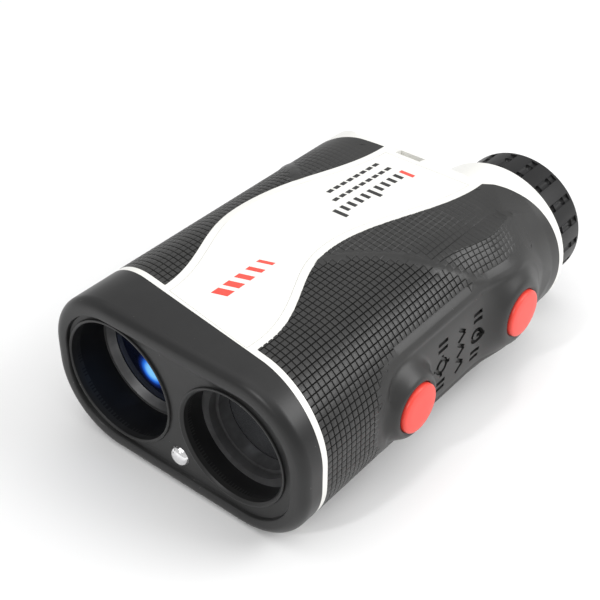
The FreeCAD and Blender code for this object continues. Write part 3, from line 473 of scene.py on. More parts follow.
def finish(
    name, colour, marked, rough=(0.4, 0.5), grain=2500.0, relief=0.01, ripple=0.35,
    worn=None, wear=0.5, dusty=0.0, marks=60.0, **shader
):
    """One finish: colour with handling marks, rubbed edges and dust; roughness that wanders; a fine skin."""
    material = bpy.data.materials.new(name)
    material.use_nodes = True
    tree = material.node_tree
    tree.nodes.clear()
    out = node(tree, "ShaderNodeOutputMaterial")
    surface = node(tree, "ShaderNodeBsdfPrincipled", sockets=shader)
    skin = group_node(tree, GRAIN, Scale=grain, Ripple=ripple)
    hands = group_node(tree, HANDLING, Scale=marks)
    tone = colour_mix(tree, colour, marked, hands.outputs["Mask"])
    if worn:
        rubbed = group_node(tree, WEAR, Amount=wear)
        tone = colour_mix(tree, tone, worn, rubbed.outputs["Mask"])
    if dusty:
        specks = group_node(tree, DUST, Size=dusty)
        tone = colour_mix(tree, tone, (0.62, 0.6, 0.56), specks.outputs["Mask"])
    wander = node(tree, "ShaderNodeMapRange", sockets={3: rough[0], 4: rough[1]})
    mingle = node(tree, "ShaderNodeMix", data_type="FLOAT", sockets={0: 0.45})
    bump = node(tree, "ShaderNodeBump", sockets={"Strength": 0.6, "Distance": relief * MM})
    link(tree, hands.outputs["Mask"], mingle.inputs[2])
    link(tree, skin.outputs["Mottle"], mingle.inputs[3])
    link(tree, mingle.outputs[0], wander.inputs[0])
    link(tree, skin.outputs["Height"], bump.inputs["Height"])
    link(tree, tone, surface.inputs["Base Color"])
    link(tree, wander.outputs[0], surface.inputs["Roughness"])
    link(tree, bump.outputs[0], surface.inputs["Normal"])
    link(tree, surface.outputs[0], out.inputs["Surface"])
    return material


def make_finishes():
    """Every finish of the record, by its slot's name."""
    return {
        "white_shell": finish(
            "white_shell", (0.83, 0.825, 0.79), (0.81, 0.805, 0.77), (0.26, 0.36), 3200, 0.006,
            worn=(0.95, 0.95, 0.93), **{"Coat Weight": 0.15, "Coat Roughness": 0.2},
        ),
        "label_white": finish(
            "label_white", (0.85, 0.845, 0.81), (0.83, 0.825, 0.79), (0.3, 0.38), 5200, 0.003,
        ),
        "grip_rubber": finish(
            "grip_rubber", (0.021, 0.021, 0.0205), (0.026, 0.0257, 0.025), (0.36, 0.46), 4200, 0.014, 0.2,
            (0.05, 0.05, 0.049), 0.5, 0.035, **{"Specular IOR Level": 0.42},
        ),
        "bumper_rubber": finish(
            "bumper_rubber", (0.01, 0.01, 0.0102), (0.013, 0.013, 0.013), (0.34, 0.42), 3800, 0.008, 0.3,
            (0.035, 0.035, 0.035), 0.6, 0.035, **{"Specular IOR Level": 0.38},
        ),
        "button_red": finish(
            "button_red", (0.88, 0.06, 0.04), (0.84, 0.052, 0.034), (0.34, 0.42), 4200, 0.006,
            worn=(0.9, 0.16, 0.12),
        ),
        "ring_black": finish(
            "ring_black", (0.008, 0.008, 0.0085), (0.011, 0.011, 0.0115), (0.36, 0.46), 3000, 0.008,
            worn=(0.04, 0.04, 0.041), wear=0.8, dusty=0.03, **{"Specular IOR Level": 0.3},
        ),
        "eyecup_rubber": finish(
            "eyecup_rubber", (0.018, 0.018, 0.018), (0.024, 0.024, 0.0235), (0.58, 0.7), 3400, 0.02,
            worn=(0.045, 0.045, 0.045), dusty=0.05,
        ),
        "barrel_black": finish(
            "barrel_black", (0.006, 0.006, 0.0065), (0.009, 0.009, 0.0095), (0.38, 0.48), 2600, 0.008,
            **{"Specular IOR Level": 0.2},
        ),
        "ring_metal": finish(
            "ring_metal", (0.05, 0.05, 0.051), (0.065, 0.065, 0.066), (0.3, 0.38), 3600, 0.005,
            worn=(0.22, 0.22, 0.225), wear=0.7, Metallic=0.4,
        ),
        # The receiving lens carries the painted reflection patch, drawn as emission.
        "lens_blue": coated_glass(
            "lens_blue", (0.002, 0.003, 0.008), (0.004, 0.006, 0.02), (0.25, 0.5, 1.0), 1.8, True,
        ),
        "lens_clear": coated_glass(
            "lens_clear", (0.028, 0.029, 0.031), (0.06, 0.061, 0.064), (0.8, 0.85, 0.95), 1.7,
        ),
        "prism_glass": coated_glass(
            "prism_glass", (0.3, 0.34, 0.35), (0.36, 0.4, 0.41), (0.95, 1.0, 1.0), 1.5,
        ),
        "indicator_lens": silver_lens(),
        "gasket": finish("gasket", (0.1, 0.1, 0.1), (0.12, 0.12, 0.12), (0.55, 0.65), 2800, 0.012),
        "screw_steel": finish(
            "screw_steel", (0.6, 0.6, 0.62), (0.5, 0.5, 0.52), (0.25, 0.4), 2400, 0.006, Metallic=1.0,
        ),
        "circuit_green": finish(
            "circuit_green", (0.02, 0.11, 0.045), (0.03, 0.15, 0.06), (0.3, 0.45), 900, 0.02,
        ),
        "chip_black": finish("chip_black", (0.02, 0.02, 0.02), (0.028, 0.028, 0.028), (0.4, 0.55), 3800, 0.008),
        "contact_metal": finish(
            "contact_metal", (0.72, 0.69, 0.62), (0.62, 0.6, 0.54), (0.22, 0.36), 2600, 0.006, Metallic=1.0,
        ),
        "holder_brass": finish(
            "holder_brass", (0.68, 0.5, 0.22), (0.6, 0.44, 0.2), (0.25, 0.38), 2400, 0.008, Metallic=1.0,
        ),
        "led_epoxy": finish("led_epoxy", (0.82, 0.82, 0.78), (0.74, 0.74, 0.7), (0.12, 0.2), 1500, 0.006),
        "battery_wrap": finish(
            "battery_wrap", (0.12, 0.13, 0.15), (0.15, 0.16, 0.18), (0.25, 0.35), 1800, 0.006,
        ),
    }


def silver_lens():
    """Clear lens over a bright reflector, with a few dark flecks of the setting showing through."""
    material = finish(
        "indicator_lens", (0.93, 0.93, 0.93), (0.8, 0.8, 0.81), (0.08, 0.16), 900, 0.004, marks=900.0,
        Metallic=0.85,
    )
    tree = material.node_tree
    surface = next(part for part in tree.nodes if part.type == "BSDF_PRINCIPLED")
    tone = surface.inputs["Base Color"].links[0].from_socket
    flecks = group_node(tree, DUST, Scale=1500.0, Size=0.33)
    link(tree, colour_mix(tree, tone, (0.12, 0.12, 0.12), flecks.outputs["Mask"]), surface.inputs["Base Color"])
    return material


def coated_glass(name, deep, painted_grazing_sheen, coating, ior, with_painted_reflection=False):
    """Dark coated glass over a closed barrel: deep tone under a tinted, smooth face; a painted sheen lightens
    the colour toward grazing angles, with or without a painted reflection patch that glows.
    """
    material = bpy.data.materials.new(name)
    material.use_nodes = True
    tree = material.node_tree
    tree.nodes.clear()
    out = node(tree, "ShaderNodeOutputMaterial")
    surface = node(tree, "ShaderNodeBsdfPrincipled", sockets={
        "IOR": ior, "Specular Tint": (*coating, 1), "Coat Weight": 0.3, "Coat Roughness": 0.02,
    })
    film = group_node(tree, HANDLING, Scale=90.0)
    # Painted sheen: the base colour moves from the deep tone to a lighter one toward grazing angles, standing
    # in for the glass's reflection.
    facing = node(tree, "ShaderNodeLayerWeight", sockets={"Blend": 0.35})
    tone = colour_mix(tree, deep, painted_grazing_sheen, facing.outputs["Facing"])
    wander = node(tree, "ShaderNodeMapRange", sockets={3: 0.04, 4: 0.06})
    link(tree, film.outputs["Mask"], wander.inputs[0])
    # Painted reflection: an emissive blue patch low in the lens stands in for light thrown back by the coating.
    if with_painted_reflection:
        painted_reflection_mask = group_node(tree, PAINTED_REFLECTION)
        painted_reflection_colours = node(tree, "ShaderNodeValToRGB")
        painted_reflection_colours.color_ramp.elements[0].color = (0, 0, 0, 1)
        painted_reflection_colours.color_ramp.elements[1].color = (0.22, 0.6, 1, 1)
        for place, colour in ((0.3, (0.004, 0.02, 0.16, 1)), (0.65, (0.02, 0.17, 0.8, 1))):
            painted_reflection_colours.color_ramp.elements.new(place).color = colour
        link(tree, painted_reflection_mask.outputs["Mask"], painted_reflection_colours.inputs[0])
        link(tree, painted_reflection_colours.outputs[0], surface.inputs["Emission Color"])
        surface.inputs["Emission Strength"].default_value = 1.0
    link(tree, wander.outputs[0], surface.inputs["Roughness"])
    link(tree, tone, surface.inputs["Base Color"])
    link(tree, surface.outputs[0], out.inputs["Surface"])
    return material


FINISHES = make_finishes()


def dress_frame():
    """Give every carried-over part the finish of its slot."""
    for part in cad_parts.values():
        for place in part.material_slots:
            place.material = FINISHES[place.material.name.split(".")[0]]


# front bumper --------------------------------------------------------------------------------------------
LEFT_WINDOW = middle_of("left_barrel")
RIGHT_WINDOW = middle_of("right_barrel")
WINDOWS = {"left": (LEFT_WINDOW, 14.3 * MM), "right": (RIGHT_WINDOW, 12.95 * MM)}
DOME = middle_of("indicator_dome")


def seam_y(x, behind=0.0):
    return FRONT + SEAM + behind - SEAM_SLOPE * x


def front_of_seam():
    """The space ahead of the slanted seam."""
    reach = HALF_WIDTH * 1.2
    outline = [
        (-reach, FRONT - 10 * MM), (reach, FRONT - 10 * MM), (reach, seam_y(reach)), (-reach, seam_y(-reach)),
    ]
    return pulled("front_of_seam", outline, -HEIGHT, 2 * HEIGHT)


def bumper():
    """Soft shell round the front: rounded nose, raised lip, flat sunk face with three holes."""
    nose = FRONT - LIP
    shell = body_bar("bumper", 0, nose, FRONT + 24 * MM, 32)

    def on_nose(face):
        return face.normal.y < -0.999

    edit(shell, "FACE")
    pick(shell, on_nose)
    bpy.ops.mesh.region_to_loop()
    bpy.ops.mesh.bevel(offset=NOSE_ROUND, segments=10, affect="EDGES")
    leave()
    edit(shell, "FACE")
    pick(shell, lambda face: on_nose(face) and abs(face.calc_center_median().y - nose) < 0.01 * MM)
    bpy.ops.mesh.inset(thickness=1.3 * MM)
    for sink, draw_in in ((0.04, 0.12), (0.12, 0.1), (0.2, 0.06), (0.52, 0.04), (0.12, 0.06), (0.05, 0.1)):
        bpy.ops.mesh.inset(thickness=draw_in * MM, depth=-sink * MM)
    leave()
    inner = body_bar("bumper_inside", BUMPER_WALL, FRONT + FACE_THICK, FRONT + 30 * MM, 32)
    combine(shell, inner)
    combine(shell, front_of_seam(), "INTERSECT")
    for side, (middle, radius) in WINDOWS.items():
        combine(shell, rod(side + "_window_cutter", middle, radius, FRONT - PAST, FRONT + 3 * MM, sides=128))
    combine(shell, rod("dome_cutter", DOME, DOME_RADIUS, FRONT - PAST, FRONT + 3 * MM, sides=48))
    return finished(smooth(shell, 30), "housing", "bumper_rubber", "front_bumper")


def window_rims():
    """A slim raised rim round each window, the right one wider with a light chamfer."""
    rise = 0.5
    for side, wide, chamfer in (("left", 0.75, 0.22), ("right", 1.0, 0.5)):
        middle, radius = WINDOWS[side]
        outline = [
            (FRONT + 1.2 * MM, radius - 0.05 * MM, 0),
            (FRONT - (rise - chamfer) * MM, radius - 0.05 * MM, 0.08 * MM),
            (FRONT - rise * MM, radius + chamfer * MM, 0.12 * MM),
            (FRONT - rise * MM, radius + (wide - 0.1) * MM, 0.16 * MM),
            (FRONT + 0.1 * MM, radius + wide * MM, 0.12 * MM),
            (FRONT + 1.2 * MM, radius + wide * MM, 0),
        ]
        rim = turned(side + "_window_rim", outline, middle, steps=128)
        finished(rim, "housing", "bumper_rubber")


def indicator():
    """Bright domed lens in a slim dark setting, low between the windows."""
    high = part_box("indicator_dome")[1]
    bore, rim, pocket = 1.7 * MM, 2.42 * MM, high.y - 1.2 * MM
    outline = [
        (high.y, bore, 0), (high.y, rim, 0), (FRONT + 0.1 * MM, rim, 0.1 * MM),
        (FRONT - 0.75 * MM, 2.1 * MM, 0.9 * MM), (FRONT - 1.25 * MM, 1.1 * MM, 0.9 * MM),
        (FRONT - 1.35 * MM, 0, 0), (pocket, 0, 0), (pocket, bore, 0),
    ]
    dome = turned("indicator_dome_lens", outline, DOME, steps=48)
    finished(dome, "housing", "indicator_lens", "indicator_dome")


# grips ---------------------------------------------------------------------------------------------------
def on_section(along):
    """Point (x, z) and outward direction on the body's section, from the middle of the top round +X."""
    if along <= FLAT:
        return Vector((along, HEIGHT)), Vector((0, 1))
    along -= FLAT
    if along <= TURN:
        angle = along / CORNER
        out = Vector((math.sin(angle), math.cos(angle)))
        return Vector((FLAT, HEIGHT - CORNER)) + out * CORNER, out
    along -= TURN
    if along <= SIDE:
        return Vector((HALF_WIDTH, HEIGHT - CORNER - along)), Vector((1, 0))
    along -= SIDE
    if along <= TURN:
        angle = along / CORNER
        out = Vector((math.cos(angle), -math.sin(angle)))
        return Vector((FLAT, CORNER)) + out * CORNER, out
    return Vector((FLAT + TURN - along, 0)), Vector((0, -1))


def wave(side, y):
    """Edge of the white band at a distance behind the front."""
    edge = WAVE_EDGE[side]
    end = "front" if y < WAVE_MIDDLE else "back"
    part = min(abs(y - WAVE_MIDDLE) / WAVE_REACH[end], 1.0)
    return edge["middle"] + (edge[end] - edge["middle"]) * (1 - math.cos(math.pi * part)) / 2


def arc_through(start, turn, end, count):
    """Points on the circle through three places."""
    (ax, ay), (bx, by), (cx, cy) = start, turn, end
    scale = 2 * (ax * (by - cy) + bx * (cy - ay) + cx * (ay - by))
    squares = [ax * ax + ay * ay, bx * bx + by * by, cx * cx + cy * cy]
    hub = Vector((
        (squares[0] * (by - cy) + squares[1] * (cy - ay) + squares[2] * (ay - by)) / scale,
        (squares[0] * (cx - bx) + squares[1] * (ax - cx) + squares[2] * (bx - ax)) / scale,
    ))
    first, last = Vector(start) - hub, Vector(end) - hub
    sweep = first.angle_signed(last)
    points = []
    for i in range(count + 1):
        angle = -sweep * i / count
        turned_arm = Vector((
            first.x * math.cos(angle) - first.y * math.sin(angle),
            first.x * math.sin(angle) + first.y * math.cos(angle),
        ))
        points.append(tuple(hub + turned_arm))
    return points


REAR_ARC = {
    1: [(16.0, 87.9), (25.6, 93.1), (38.9, 95.8)],
    -1: [(-11.9, 87.6), (-26.0, 85.6), (-38.9, 80.0)],
}


def grip_plan(side):
    """Plan of a grip: the band's edge, the bowed rear edge, and room beyond the side and the seam."""
    first, last = 5 * MM, REAR_ARC[side][0][1] * MM
    steps = 40
    edge = []
    for i in range(steps):
        y = first + (last - first) * i / steps
        edge.append((wave(side, y), FRONT + y))
    arc = arc_through(*[(x * MM, FRONT + y * MM) for x, y in REAR_ARC[side]], 14)
    return edge + arc + [(arc[-1][0], FRONT + first - 8 * MM), (edge[0][0], FRONT + first - 8 * MM)]


def ridge_y(around):
    """Where the smooth ridge crosses a line round the body; it sweeps back from the band to the deck."""
    for (a, y), (b, far) in zip(RIDGE_STOPS, RIDGE_STOPS[1:]):
        if around <= b * MM:
            part = max(0.0, (around / MM - a) / (b - a))
            return (y + (far - y) * part) * MM
    return RIDGE_STOPS[-1][1] * MM


def fold(along):
    """Distance round the body from the middle of the top or of the underside, whichever is nearer."""
    return min(along, ROUND_BODY - along)


def deck_distance(along, y):
    """Distance outside the rounded outline of the button deck, laid out flat."""
    half_long, half_wide = (DECK_END - DECK_START) / 2, ROUND_BODY / 2 - DECK_TOP
    a = abs(y - (DECK_START + DECK_END) / 2) - half_long + DECK_CORNER
    b = abs(along - ROUND_BODY / 2) - half_wide + DECK_CORNER
    outside = math.hypot(max(a, 0), max(b, 0))
    return outside + min(max(a, b), 0) - DECK_CORNER


def ramp(value, start, end):
    """Smooth step from 0 at start to 1 at end."""
    part = min(max((value - start) / (end - start), 0.0), 1.0)
    return part * part * (3 - 2 * part)


def ridge_offset(side, along, y):
    if side < 0:
        return y - (66 - 10 * math.cos(2 * math.pi * along / ROUND_BODY)) * MM
    return y - ridge_y(fold(along))


def tile_strength(side, along, y):
    """How deep the grooves are cut here, from 0 to 1."""
    offset = ridge_offset(side, along, y)
    strength = ramp(abs(offset), RIDGE_HALF - TILE_FADE, RIDGE_HALF + TILE_FADE)
    if side > 0:
        strength *= ramp(deck_distance(along, y), RIM_WIDTH - TILE_FADE, RIM_WIDTH + TILE_FADE)
    if offset > 0:
        strength *= REAR_STRENGTH * (1 - ramp(y, *REAR_FADE))
    return strength


def strongest_near(side, along, y):
    """The strongest grooving at the four corners of the tile in the middle of which this place lies."""
    steps = [(i * TILE_AROUND / 2, j * TILE_ALONG / 2) for i in (-1, 1) for j in (-1, 1)]
    return max(tile_strength(side, along + a, y + b) for a, b in steps)


def swell(side, along, y):
    """Rise of the smooth ridge and of the rim round the deck."""
    rise = RIDGE_RISE * (1 - ramp(abs(ridge_offset(side, along, y)), 0.2 * RIDGE_HALF, RIDGE_HALF * 1.3))
    if side > 0:
        rim = deck_distance(along, y)
        band = ramp(rim, -0.4 * MM, 0.5 * MM) * (1 - ramp(rim, 1.6 * MM, RIM_WIDTH))
        rise = max(rise * ramp(rim, 0, 2 * MM), RIM_RISE * band)
    return rise


def soft_max(first, second, reach):
    """The larger of two heights, with a rounded valley where they meet."""
    gap = max(reach - abs(first - second), 0.0) / reach
    return max(first, second) + gap * gap * reach / 4


def mound(y, z, hub, top_radius, slope):
    """Height of a button's collar: a cone with a rounded brim, dipping a little to its button."""
    radius = math.hypot(y - hub.y, z - hub.z)
    flank = MOUND_TOP - (radius - top_radius) * slope
    height = -soft_max(-flank, -MOUND_TOP, 0.9 * MM)
    return height - 0.25 * MM * ramp(radius, BUTTON_HOLE + 0.45 * MM, BUTTON_HOLE)


def deck_shift(x, y, z, along, behind):
    """How far the skin moves along X to form the sunk deck and the two collars."""
    floor = -soft_max(-DECK_FACE, -(x - 0.35 * MM), 1.2 * MM)
    inside = 1 - ramp(deck_distance(along, behind), -0.75 * MM, 0.35 * MM)
    inside *= 1 - ramp(behind, 74 * MM, 84 * MM)
    height = x + (floor - x) * inside
    if deck_distance(along, behind) < MOUND_REACH:
        for which, hub in (("mode", MODE), ("power", POWER)):
            collar = mound(y, z, hub, MOUND_BRIM[which], MOUND_SLOPE[which])
            height = soft_max(height, collar, MOUND_BLEND[which])
    return height - x


def wrap(side, along, skewed, height):
    """Lay a point of the flat sheet onto the body."""
    point, out = on_section(along)
    x = point.x * side
    behind = skewed - SEAM_SLOPE * x
    arm = Vector((point.x - EYE.x, point.y - EYE.z))
    limit = NECK_RADIUS + NECK_FLARE * max(0.0, NECK_AT - behind)
    if side > 0 and point.x > EYE.x and arm.length > limit:
        out = arm.normalized()
        point = Vector((EYE.x, EYE.z)) + out * limit
    y = FRONT + behind
    shift = deck_shift(point.x, y, point.y, along, behind) if side > 0 else 0.0
    placed = point + out * height
    return Vector(((placed.x + shift) * side, y, max(placed.y, 0.0)))


def flat_sheet(name, side):
    """A sheet as thick as the grip, one cell to a tile; X runs round the body, Y back from the front."""
    first, last = 2 * TILE_AROUND, 58 * TILE_AROUND
    start = SEAM + WHITE_RING
    long = TILE_ROWS * TILE_ALONG
    bpy.ops.object.select_all(action="DESELECT")
    bpy.ops.mesh.primitive_grid_add(x_subdivisions=56, y_subdivisions=TILE_ROWS, size=1)
    sheet = named(name)
    edit(sheet, "FACE", True)
    bpy.ops.transform.resize(value=(last - first, long, 1))
    bpy.ops.transform.translate(value=((first + last) / 2, start + long / 2, 0))
    leave()
    return modify(sheet, "SOLIDIFY", thickness=GRIP_DEPTH, offset=-1)


def cut_tiles(sheet, side):
    """Groove the tile zones, divide the smooth ones finely; gives back the grooves' and pillows' corners."""

    def behind_of(place):
        x = on_section(place.x)[0].x * side
        return place.y - SEAM_SLOPE * x

    def on_top(face):
        return face.normal.z > 0.5

    def tiled(face):
        place = face.calc_center_median()
        return on_top(face) and strongest_near(side, place.x, behind_of(place)) > 0.02

    edit(sheet, "FACE")
    pick(sheet, lambda face: on_top(face) and not tiled(face))
    bpy.ops.mesh.subdivide(number_cuts=3, ngon=True)
    bpy.ops.mesh.select_all(action="DESELECT")
    mesh = pick(sheet, lambda face: tiled(face) and face.calc_area() > 0.5 * TILE_AROUND * TILE_ALONG)
    grooves = {corner.index for face in mesh.faces if face.select for corner in face.verts}
    bpy.ops.mesh.inset(thickness=GROOVE_HALF, use_individual=True)
    bpy.ops.mesh.inset(thickness=PILLOW, use_individual=True)
    mesh = bmesh.from_edit_mesh(sheet.data)
    pillows = {corner.index for face in mesh.faces if face.select for corner in face.verts}
    leave()
    return grooves, pillows


def grip(name, side):
    """One grip: tiles, ridge and, on the button side, the deck, laid round the body, cut to its outline."""
    sheet = flat_sheet(name, side)
    grooves, pillows = cut_tiles(sheet, side)
    for corner in sheet.data.vertices:
        along, skewed, height = corner.co
        behind = skewed - SEAM_SLOPE * on_section(along)[0].x * side
        if height > -0.5 * GRIP_DEPTH:
            strength = tile_strength(side, along, behind)
            height = swell(side, along, behind)
            if corner.index in grooves:
                height -= GROOVE_DEPTH * strength
            elif corner.index in pillows:
                height += PILLOW_RISE * strength
        corner.co = wrap(side, along, skewed, height)
    if side < 0:
        edit(sheet, "FACE", True)
        bpy.ops.mesh.flip_normals()
        leave()
    plan = pulled(name + "_plan", grip_plan(side), -2 * MM, HEIGHT + 2 * MM)
    combine(sheet, plan, "INTERSECT")
    return sheet


def bar_mark(y, z, wide, tall, lean=0.0):
    """A short stroke sunk in the deck."""
    half_y, half_z = wide / 2, tall / 2
    low = (DECK_FACE - MARK_DEPTH, y - half_y, z - half_z)
    high = (DECK_FACE + 2 * MM, y + half_y, z + half_z)
    stroke = slab("stroke", low, high)
    if lean:
        edit(stroke, "FACE", True)
        bpy.ops.transform.rotate(value=lean, orient_axis="X", center_override=(DECK_FACE, y, z))
        leave()
    return stroke


def ring_mark(y, z, radius, line):
    """A sunk ring."""
    hub = Vector((0, y, z))
    ring = rod("ring_mark", hub, radius, DECK_FACE - MARK_DEPTH, DECK_FACE + 2 * MM, "X", 40)
    core = rod("ring_core", hub, radius - line, DECK_FACE - MM, DECK_FACE + 3 * MM, "X", 40)
    return combine(ring, core)


def deck_marks():
    """Sunk pictograms between the buttons: aiming ring, pointer, switch sign, each with strokes beside it."""
    line = MARK_LINE
    mode_y, pointer_y, power_y = MODE.y + 14.2 * MM, MODE.y + 21.6 * MM, POWER.y - 13.6 * MM
    marks = [ring_mark(mode_y, MIDDLE_Z, 2.2 * MM, line)]
    for step in (-1, 1):
        marks.append(bar_mark(mode_y, MIDDLE_Z + step * 2.2 * MM, line, 1.6 * MM))
        marks.append(bar_mark(mode_y + step * 2.2 * MM, MIDDLE_Z, 1.6 * MM, line))
    for step in (-1, 1):
        for place in (4.6, 6.4):
            marks.append(bar_mark(mode_y, MIDDLE_Z + step * place * MM, 3.6 * MM, line))
    for lean in (-1, 1):
        for place in (-4.2, 0, 4.2):
            marks.append(bar_mark(pointer_y, MIDDLE_Z + (place + lean * 0.95) * MM, 3.2 * MM, line, lean * 0.6))
    marks.append(ring_mark(power_y, MIDDLE_Z, 2.1 * MM, line))
    marks.append(bar_mark(power_y + 1.2 * MM, MIDDLE_Z, 2.2 * MM, line))
    for step in (-1, 1):
        for place in (4.4, 6.2):
            marks.append(bar_mark(power_y, MIDDLE_Z + step * place * MM, 3.2 * MM, line))
    return marks


def grips():
    near = grip("grip_button_side_rubber", 1)
    for hub in (MODE, POWER):
        combine(near, rod("button_hole", hub, BUTTON_HOLE, 28 * MM, 40 * MM, "X", 96))
    for mark in deck_marks():
        combine(near, mark)
    finished(smooth(near, 32), "housing", "grip_rubber", "grip_button_side", "button_deck")
    far = grip("grip_far_side_rubber", -1)
    finished(smooth(far, 32), "housing", "grip_rubber", "grip_far_side")


# buttons -------------------------------------------------------------------------------------------------
def buttons():
    """Soft domed caps on their flanges and stems."""
    for which in ("mode", "power"):
        low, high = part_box(which + "_button")
        hub = middle_of(which + "_button")
        radius, flange = BUTTON_RADIUS, (high.y - low.y) / 2
        flange_top = low.x + FLANGE_UP_STEM
        flange_low = flange_top - FLANGE_THICK
        outline = [
            (low.x, 0, 0), (low.x, STEM_RADIUS, 0), (flange_low, STEM_RADIUS, 0), (flange_low, flange, 0),
            (flange_top, flange, 0), (flange_top, radius, 0), (high.x - 0.35 * MM, radius, 0.55 * MM),
            (high.x - 0.12 * MM, radius - 1.6 * MM, 1.2 * MM), (high.x, 0, 0),
        ]
        cap = turned(which + "_button_cap", outline, hub, "X")
        finished(cap, which + "_button", "button_red", which + "_button")


def springs():
    """Return springs, drawn as plain sleeves on the switch board."""
    for which in ("mode", "power"):
        low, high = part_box(which + "_spring")
        outer = (high.z - low.z) / 2
        bore = outer - SPRING_WALL
        outline = [(low.x, bore, 0), (low.x, outer, 0), (high.x, outer, 0), (high.x, bore, 0)]
        spring = turned(which + "_spring_coil", outline, middle_of(which + "_spring"), "X", 48)
        finished(spring, "housing", "contact_metal", which + "_spring")
        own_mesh(spring)


# printed marks on the label plates -------------------------------------------------------------------------
def print_block(name, x, y, wide, tall, lean):
    """One printed bar on the upper plate, as thin as ink."""
    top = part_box("upper_plate")[1].z
    half_w, half_t = wide / 2, tall / 2
    outline = [
        (x - half_t, y - half_w - lean), (x + half_t, y - half_w + lean),
        (x + half_t, y + half_w + lean), (x - half_t, y + half_w - lean),
    ]
    return pulled(name, outline, top - 0.05 * MM, top + 0.015 * MM)


def joined(name, blocks):
    only(blocks[0])
    for block in blocks:
        block.select_set(True)
    bpy.ops.object.join()
    return named(name)


def label_prints():
    """Red slanted bars at the front, a black scale with one red tick behind, and two faint dashed lines."""
    red = []
    for i in range(5):
        y = FRONT + (18.2 + 3.4 * i) * MM
        red.append(print_block("red_bar", -2.4 * MM, y, (2.3 - 0.3 * i) * MM, 3.5 * MM, 0.6 * MM))
    black = []
    for i in range(11):
        x = (-1.8 + 1.7 * i / 10) * MM
        y = FRONT + (57 + 2.35 * i) * MM
        tall = 4.0 if i % 5 == 0 else 2.6
        blocks = red if i == 10 else black
        blocks.append(print_block("scale_tick", x - (4.0 - tall) / 2 * MM, y, 1.15 * MM, tall * MM, 0))
    for row, start, count in ((-6.2, 61, 9), (-9.4, 63, 8)):
        for i in range(count):
            y = FRONT + (start + 2.3 * i) * MM
            black.append(print_block("dash", (row + 0.16 * i) * MM, y, 1.7 * MM, 1.1 * MM, 0.1 * MM))
    finished(joined("label_red_marks", red), "housing", "button_red")
    finished(joined("label_black_marks", black), "housing", "chip_black")


# eyepiece ------------------------------------------------------------------------------------------------
def dioptre_ring():
    """Knurled ring: broad lands between rounded grooves, each groove with two moulded pits."""
    low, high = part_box("dioptre_ring")
    outer, bore, lip_bore = RING_RADIUS, RING_BORE, RING_LIP_BORE
    outline = [
        (low.y, bore, 0.1 * MM), (low.y, outer - 0.7 * MM, 0.15 * MM), (low.y + 0.7 * MM, outer, 0.25 * MM),
        (high.y - 0.9 * MM, outer, 0.3 * MM), (high.y, outer - 0.9 * MM, 0.25 * MM),
        (high.y, lip_bore, 0.15 * MM), (high.y - 1.6 * MM, lip_bore, 0), (high.y - 1.6 * MM, bore, 0),
    ]
    ring = turned("dioptre_ring_knurled", outline, EYE, steps=144)
    for i in range(RING_GROOVES):
        angle = 2 * math.pi * i / RING_GROOVES
        out = Vector((math.cos(angle), 0, math.sin(angle)))
        hub = EYE + out * (outer + 0.75 * MM)
        combine(ring, rod("groove", hub, 1.25 * MM, low.y + 1.7 * MM, high.y - 1.7 * MM, sides=24))
        for place in (0.33, 0.67):
            bpy.ops.object.select_all(action="DESELECT")
            spot = EYE + out * (outer - 0.3 * MM)
            spot.y = low.y + (high.y - low.y) * place
            bpy.ops.mesh.primitive_uv_sphere_add(segments=16, ring_count=8, radius=1.0 * MM, location=spot)
            pit = named("pit")
            bpy.ops.object.transform_apply(location=True, rotation=True, scale=True)
            combine(ring, pit)
    return finished(smooth(ring, 30), "dioptre_ring", "ring_black", "dioptre_ring")


def eyecup():
    """Soft rolled lip at the eye's end."""
    low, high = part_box("eyecup")
    outline = [
        (low.y, 11.2 * MM, 0.2 * MM), (low.y, 12.75 * MM, 0.2 * MM), (low.y + 1.35 * MM, 12.75 * MM, 0),
        (low.y + 1.42 * MM, 15.5 * MM, 0.3 * MM), (high.y, 15.1 * MM, 0.5 * MM), (high.y, 12.2 * MM, 0.6 * MM),
        (high.y - 0.9 * MM, 11.0 * MM, 0.5 * MM),
    ]
    cup = turned("eyecup_lip", outline, EYE, steps=128)
    return finished(cup, "dioptre_ring", "eyecup_rubber", "eyecup")


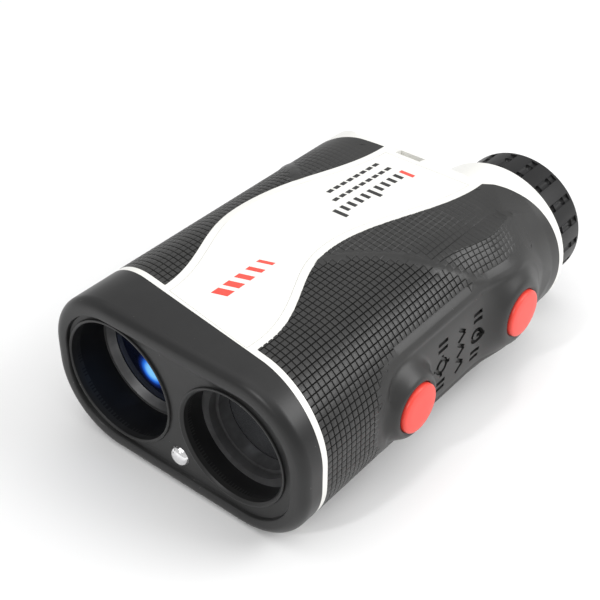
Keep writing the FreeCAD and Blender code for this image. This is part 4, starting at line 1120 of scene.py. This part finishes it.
# battery cap ---------------------------------------------------------------------------------------------
def battery_cap():
    """Coin-slotted screw cap with finger notches and a sunk ring on its face."""
    low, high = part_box("battery_cap")
    hub = middle_of("battery_cap")
    head, inside = high.y - 3 * MM, high.y - 4.2 * MM
    outline = [
        (low.y, CAP_BORE, 0.1 * MM), (low.y, CAP_SKIRT, 0.3 * MM), (head, CAP_SKIRT, 0),
        (head, CAP_RADIUS, 0.25 * MM), (high.y - 0.5 * MM, CAP_RADIUS, 0.3 * MM),
        (high.y, 9.5 * MM, 0.3 * MM), (high.y, 8.6 * MM, 0.15 * MM),
        (high.y - 0.35 * MM, 8.4 * MM, 0.1 * MM), (high.y - 0.35 * MM, 7.6 * MM, 0.1 * MM),
        (high.y, 7.4 * MM, 0.15 * MM), (high.y, 0, 0), (inside, 0, 0), (inside, CAP_BORE, 0),
    ]
    cap = turned("battery_cap_slotted", outline, hub, steps=96)
    for i in range(CAP_NOTCHES):
        angle = 2 * math.pi * i / CAP_NOTCHES
        spot = hub + Vector((math.cos(angle), 0, math.sin(angle))) * 10.6 * MM
        combine(cap, rod("notch", spot, 1.0 * MM, head + 0.7 * MM, high.y + MM, sides=24))
    long, wide, deep = COIN_SLOT
    slot_low = (hub.x - long / 2, high.y - deep, hub.z - wide / 2)
    slot_high = (hub.x + long / 2, high.y + MM, hub.z + wide / 2)
    combine(cap, slab("coin_slot", slot_low, slot_high))
    return finished(smooth(cap, 30), "battery_cap", "ring_black", "battery_cap")


# camera, light and floor ---------------------------------------------------------------------------------
def soft_box(name, place, aim, size, power):
    lamp = bpy.data.lights.new(name, "AREA")
    lamp.shape = "RECTANGLE"
    lamp.size, lamp.size_y = size
    lamp.energy = power
    holder = bpy.data.objects.new(name, lamp)
    bpy.context.scene.collection.objects.link(holder)
    holder.location = place
    holder.rotation_euler = (Vector(aim) - Vector(place)).to_track_quat("-Z", "Y").to_euler()
    return holder


def pale_floor():
    bpy.ops.object.select_all(action="DESELECT")
    bpy.ops.mesh.primitive_plane_add(size=4, location=(0, 0, 0))
    floor = named("floor")
    material = finish("pale_floor", (0.9, 0.9, 0.9), (0.91, 0.91, 0.91), (0.7, 0.8), 40, 0.01, marks=3.0)
    floor.data.materials.append(material)
    return floor


def studio():
    scene = bpy.context.scene
    scene.view_settings.view_transform = "Standard"
    world = bpy.data.worlds.new("studio")
    world.use_nodes = True
    sky = world.node_tree.nodes["Background"]
    sky.inputs["Color"].default_value = (1, 1, 1, 1)
    sky.inputs["Strength"].default_value = 0.62
    scene.world = world
    soft_box("ceiling_light", (-0.05, 0.0, 0.9), (0, 0, 0), (1.1, 1.1), 3.6)
    soft_box("back_light", (0.42, 0.3, 0.42), (0.03, 0.0, 0.0), (0.4, 0.3), 2.2)
    soft_box("front_spark", (-0.02, -0.5, 0.39), (0.01, -0.04, 0.03), (0.04, 0.04), 0.7)
    camera = bpy.data.cameras.new("camera")
    camera.lens = 72.31
    camera.sensor_width = 36
    camera.clip_start = 0.01
    holder = bpy.data.objects.new("camera", camera)
    scene.collection.objects.link(holder)
    holder.location = (0.1342, -0.17097, 0.18589)
    holder.rotation_euler = [math.radians(angle) for angle in (53.061, -0.196, 39.041)]
    scene.camera = holder


studio()
pale_floor()
dress_frame()
bumper()
window_rims()
indicator()
grips()
buttons()
springs()
label_prints()
dioptre_ring()
eyecup()
battery_cap()
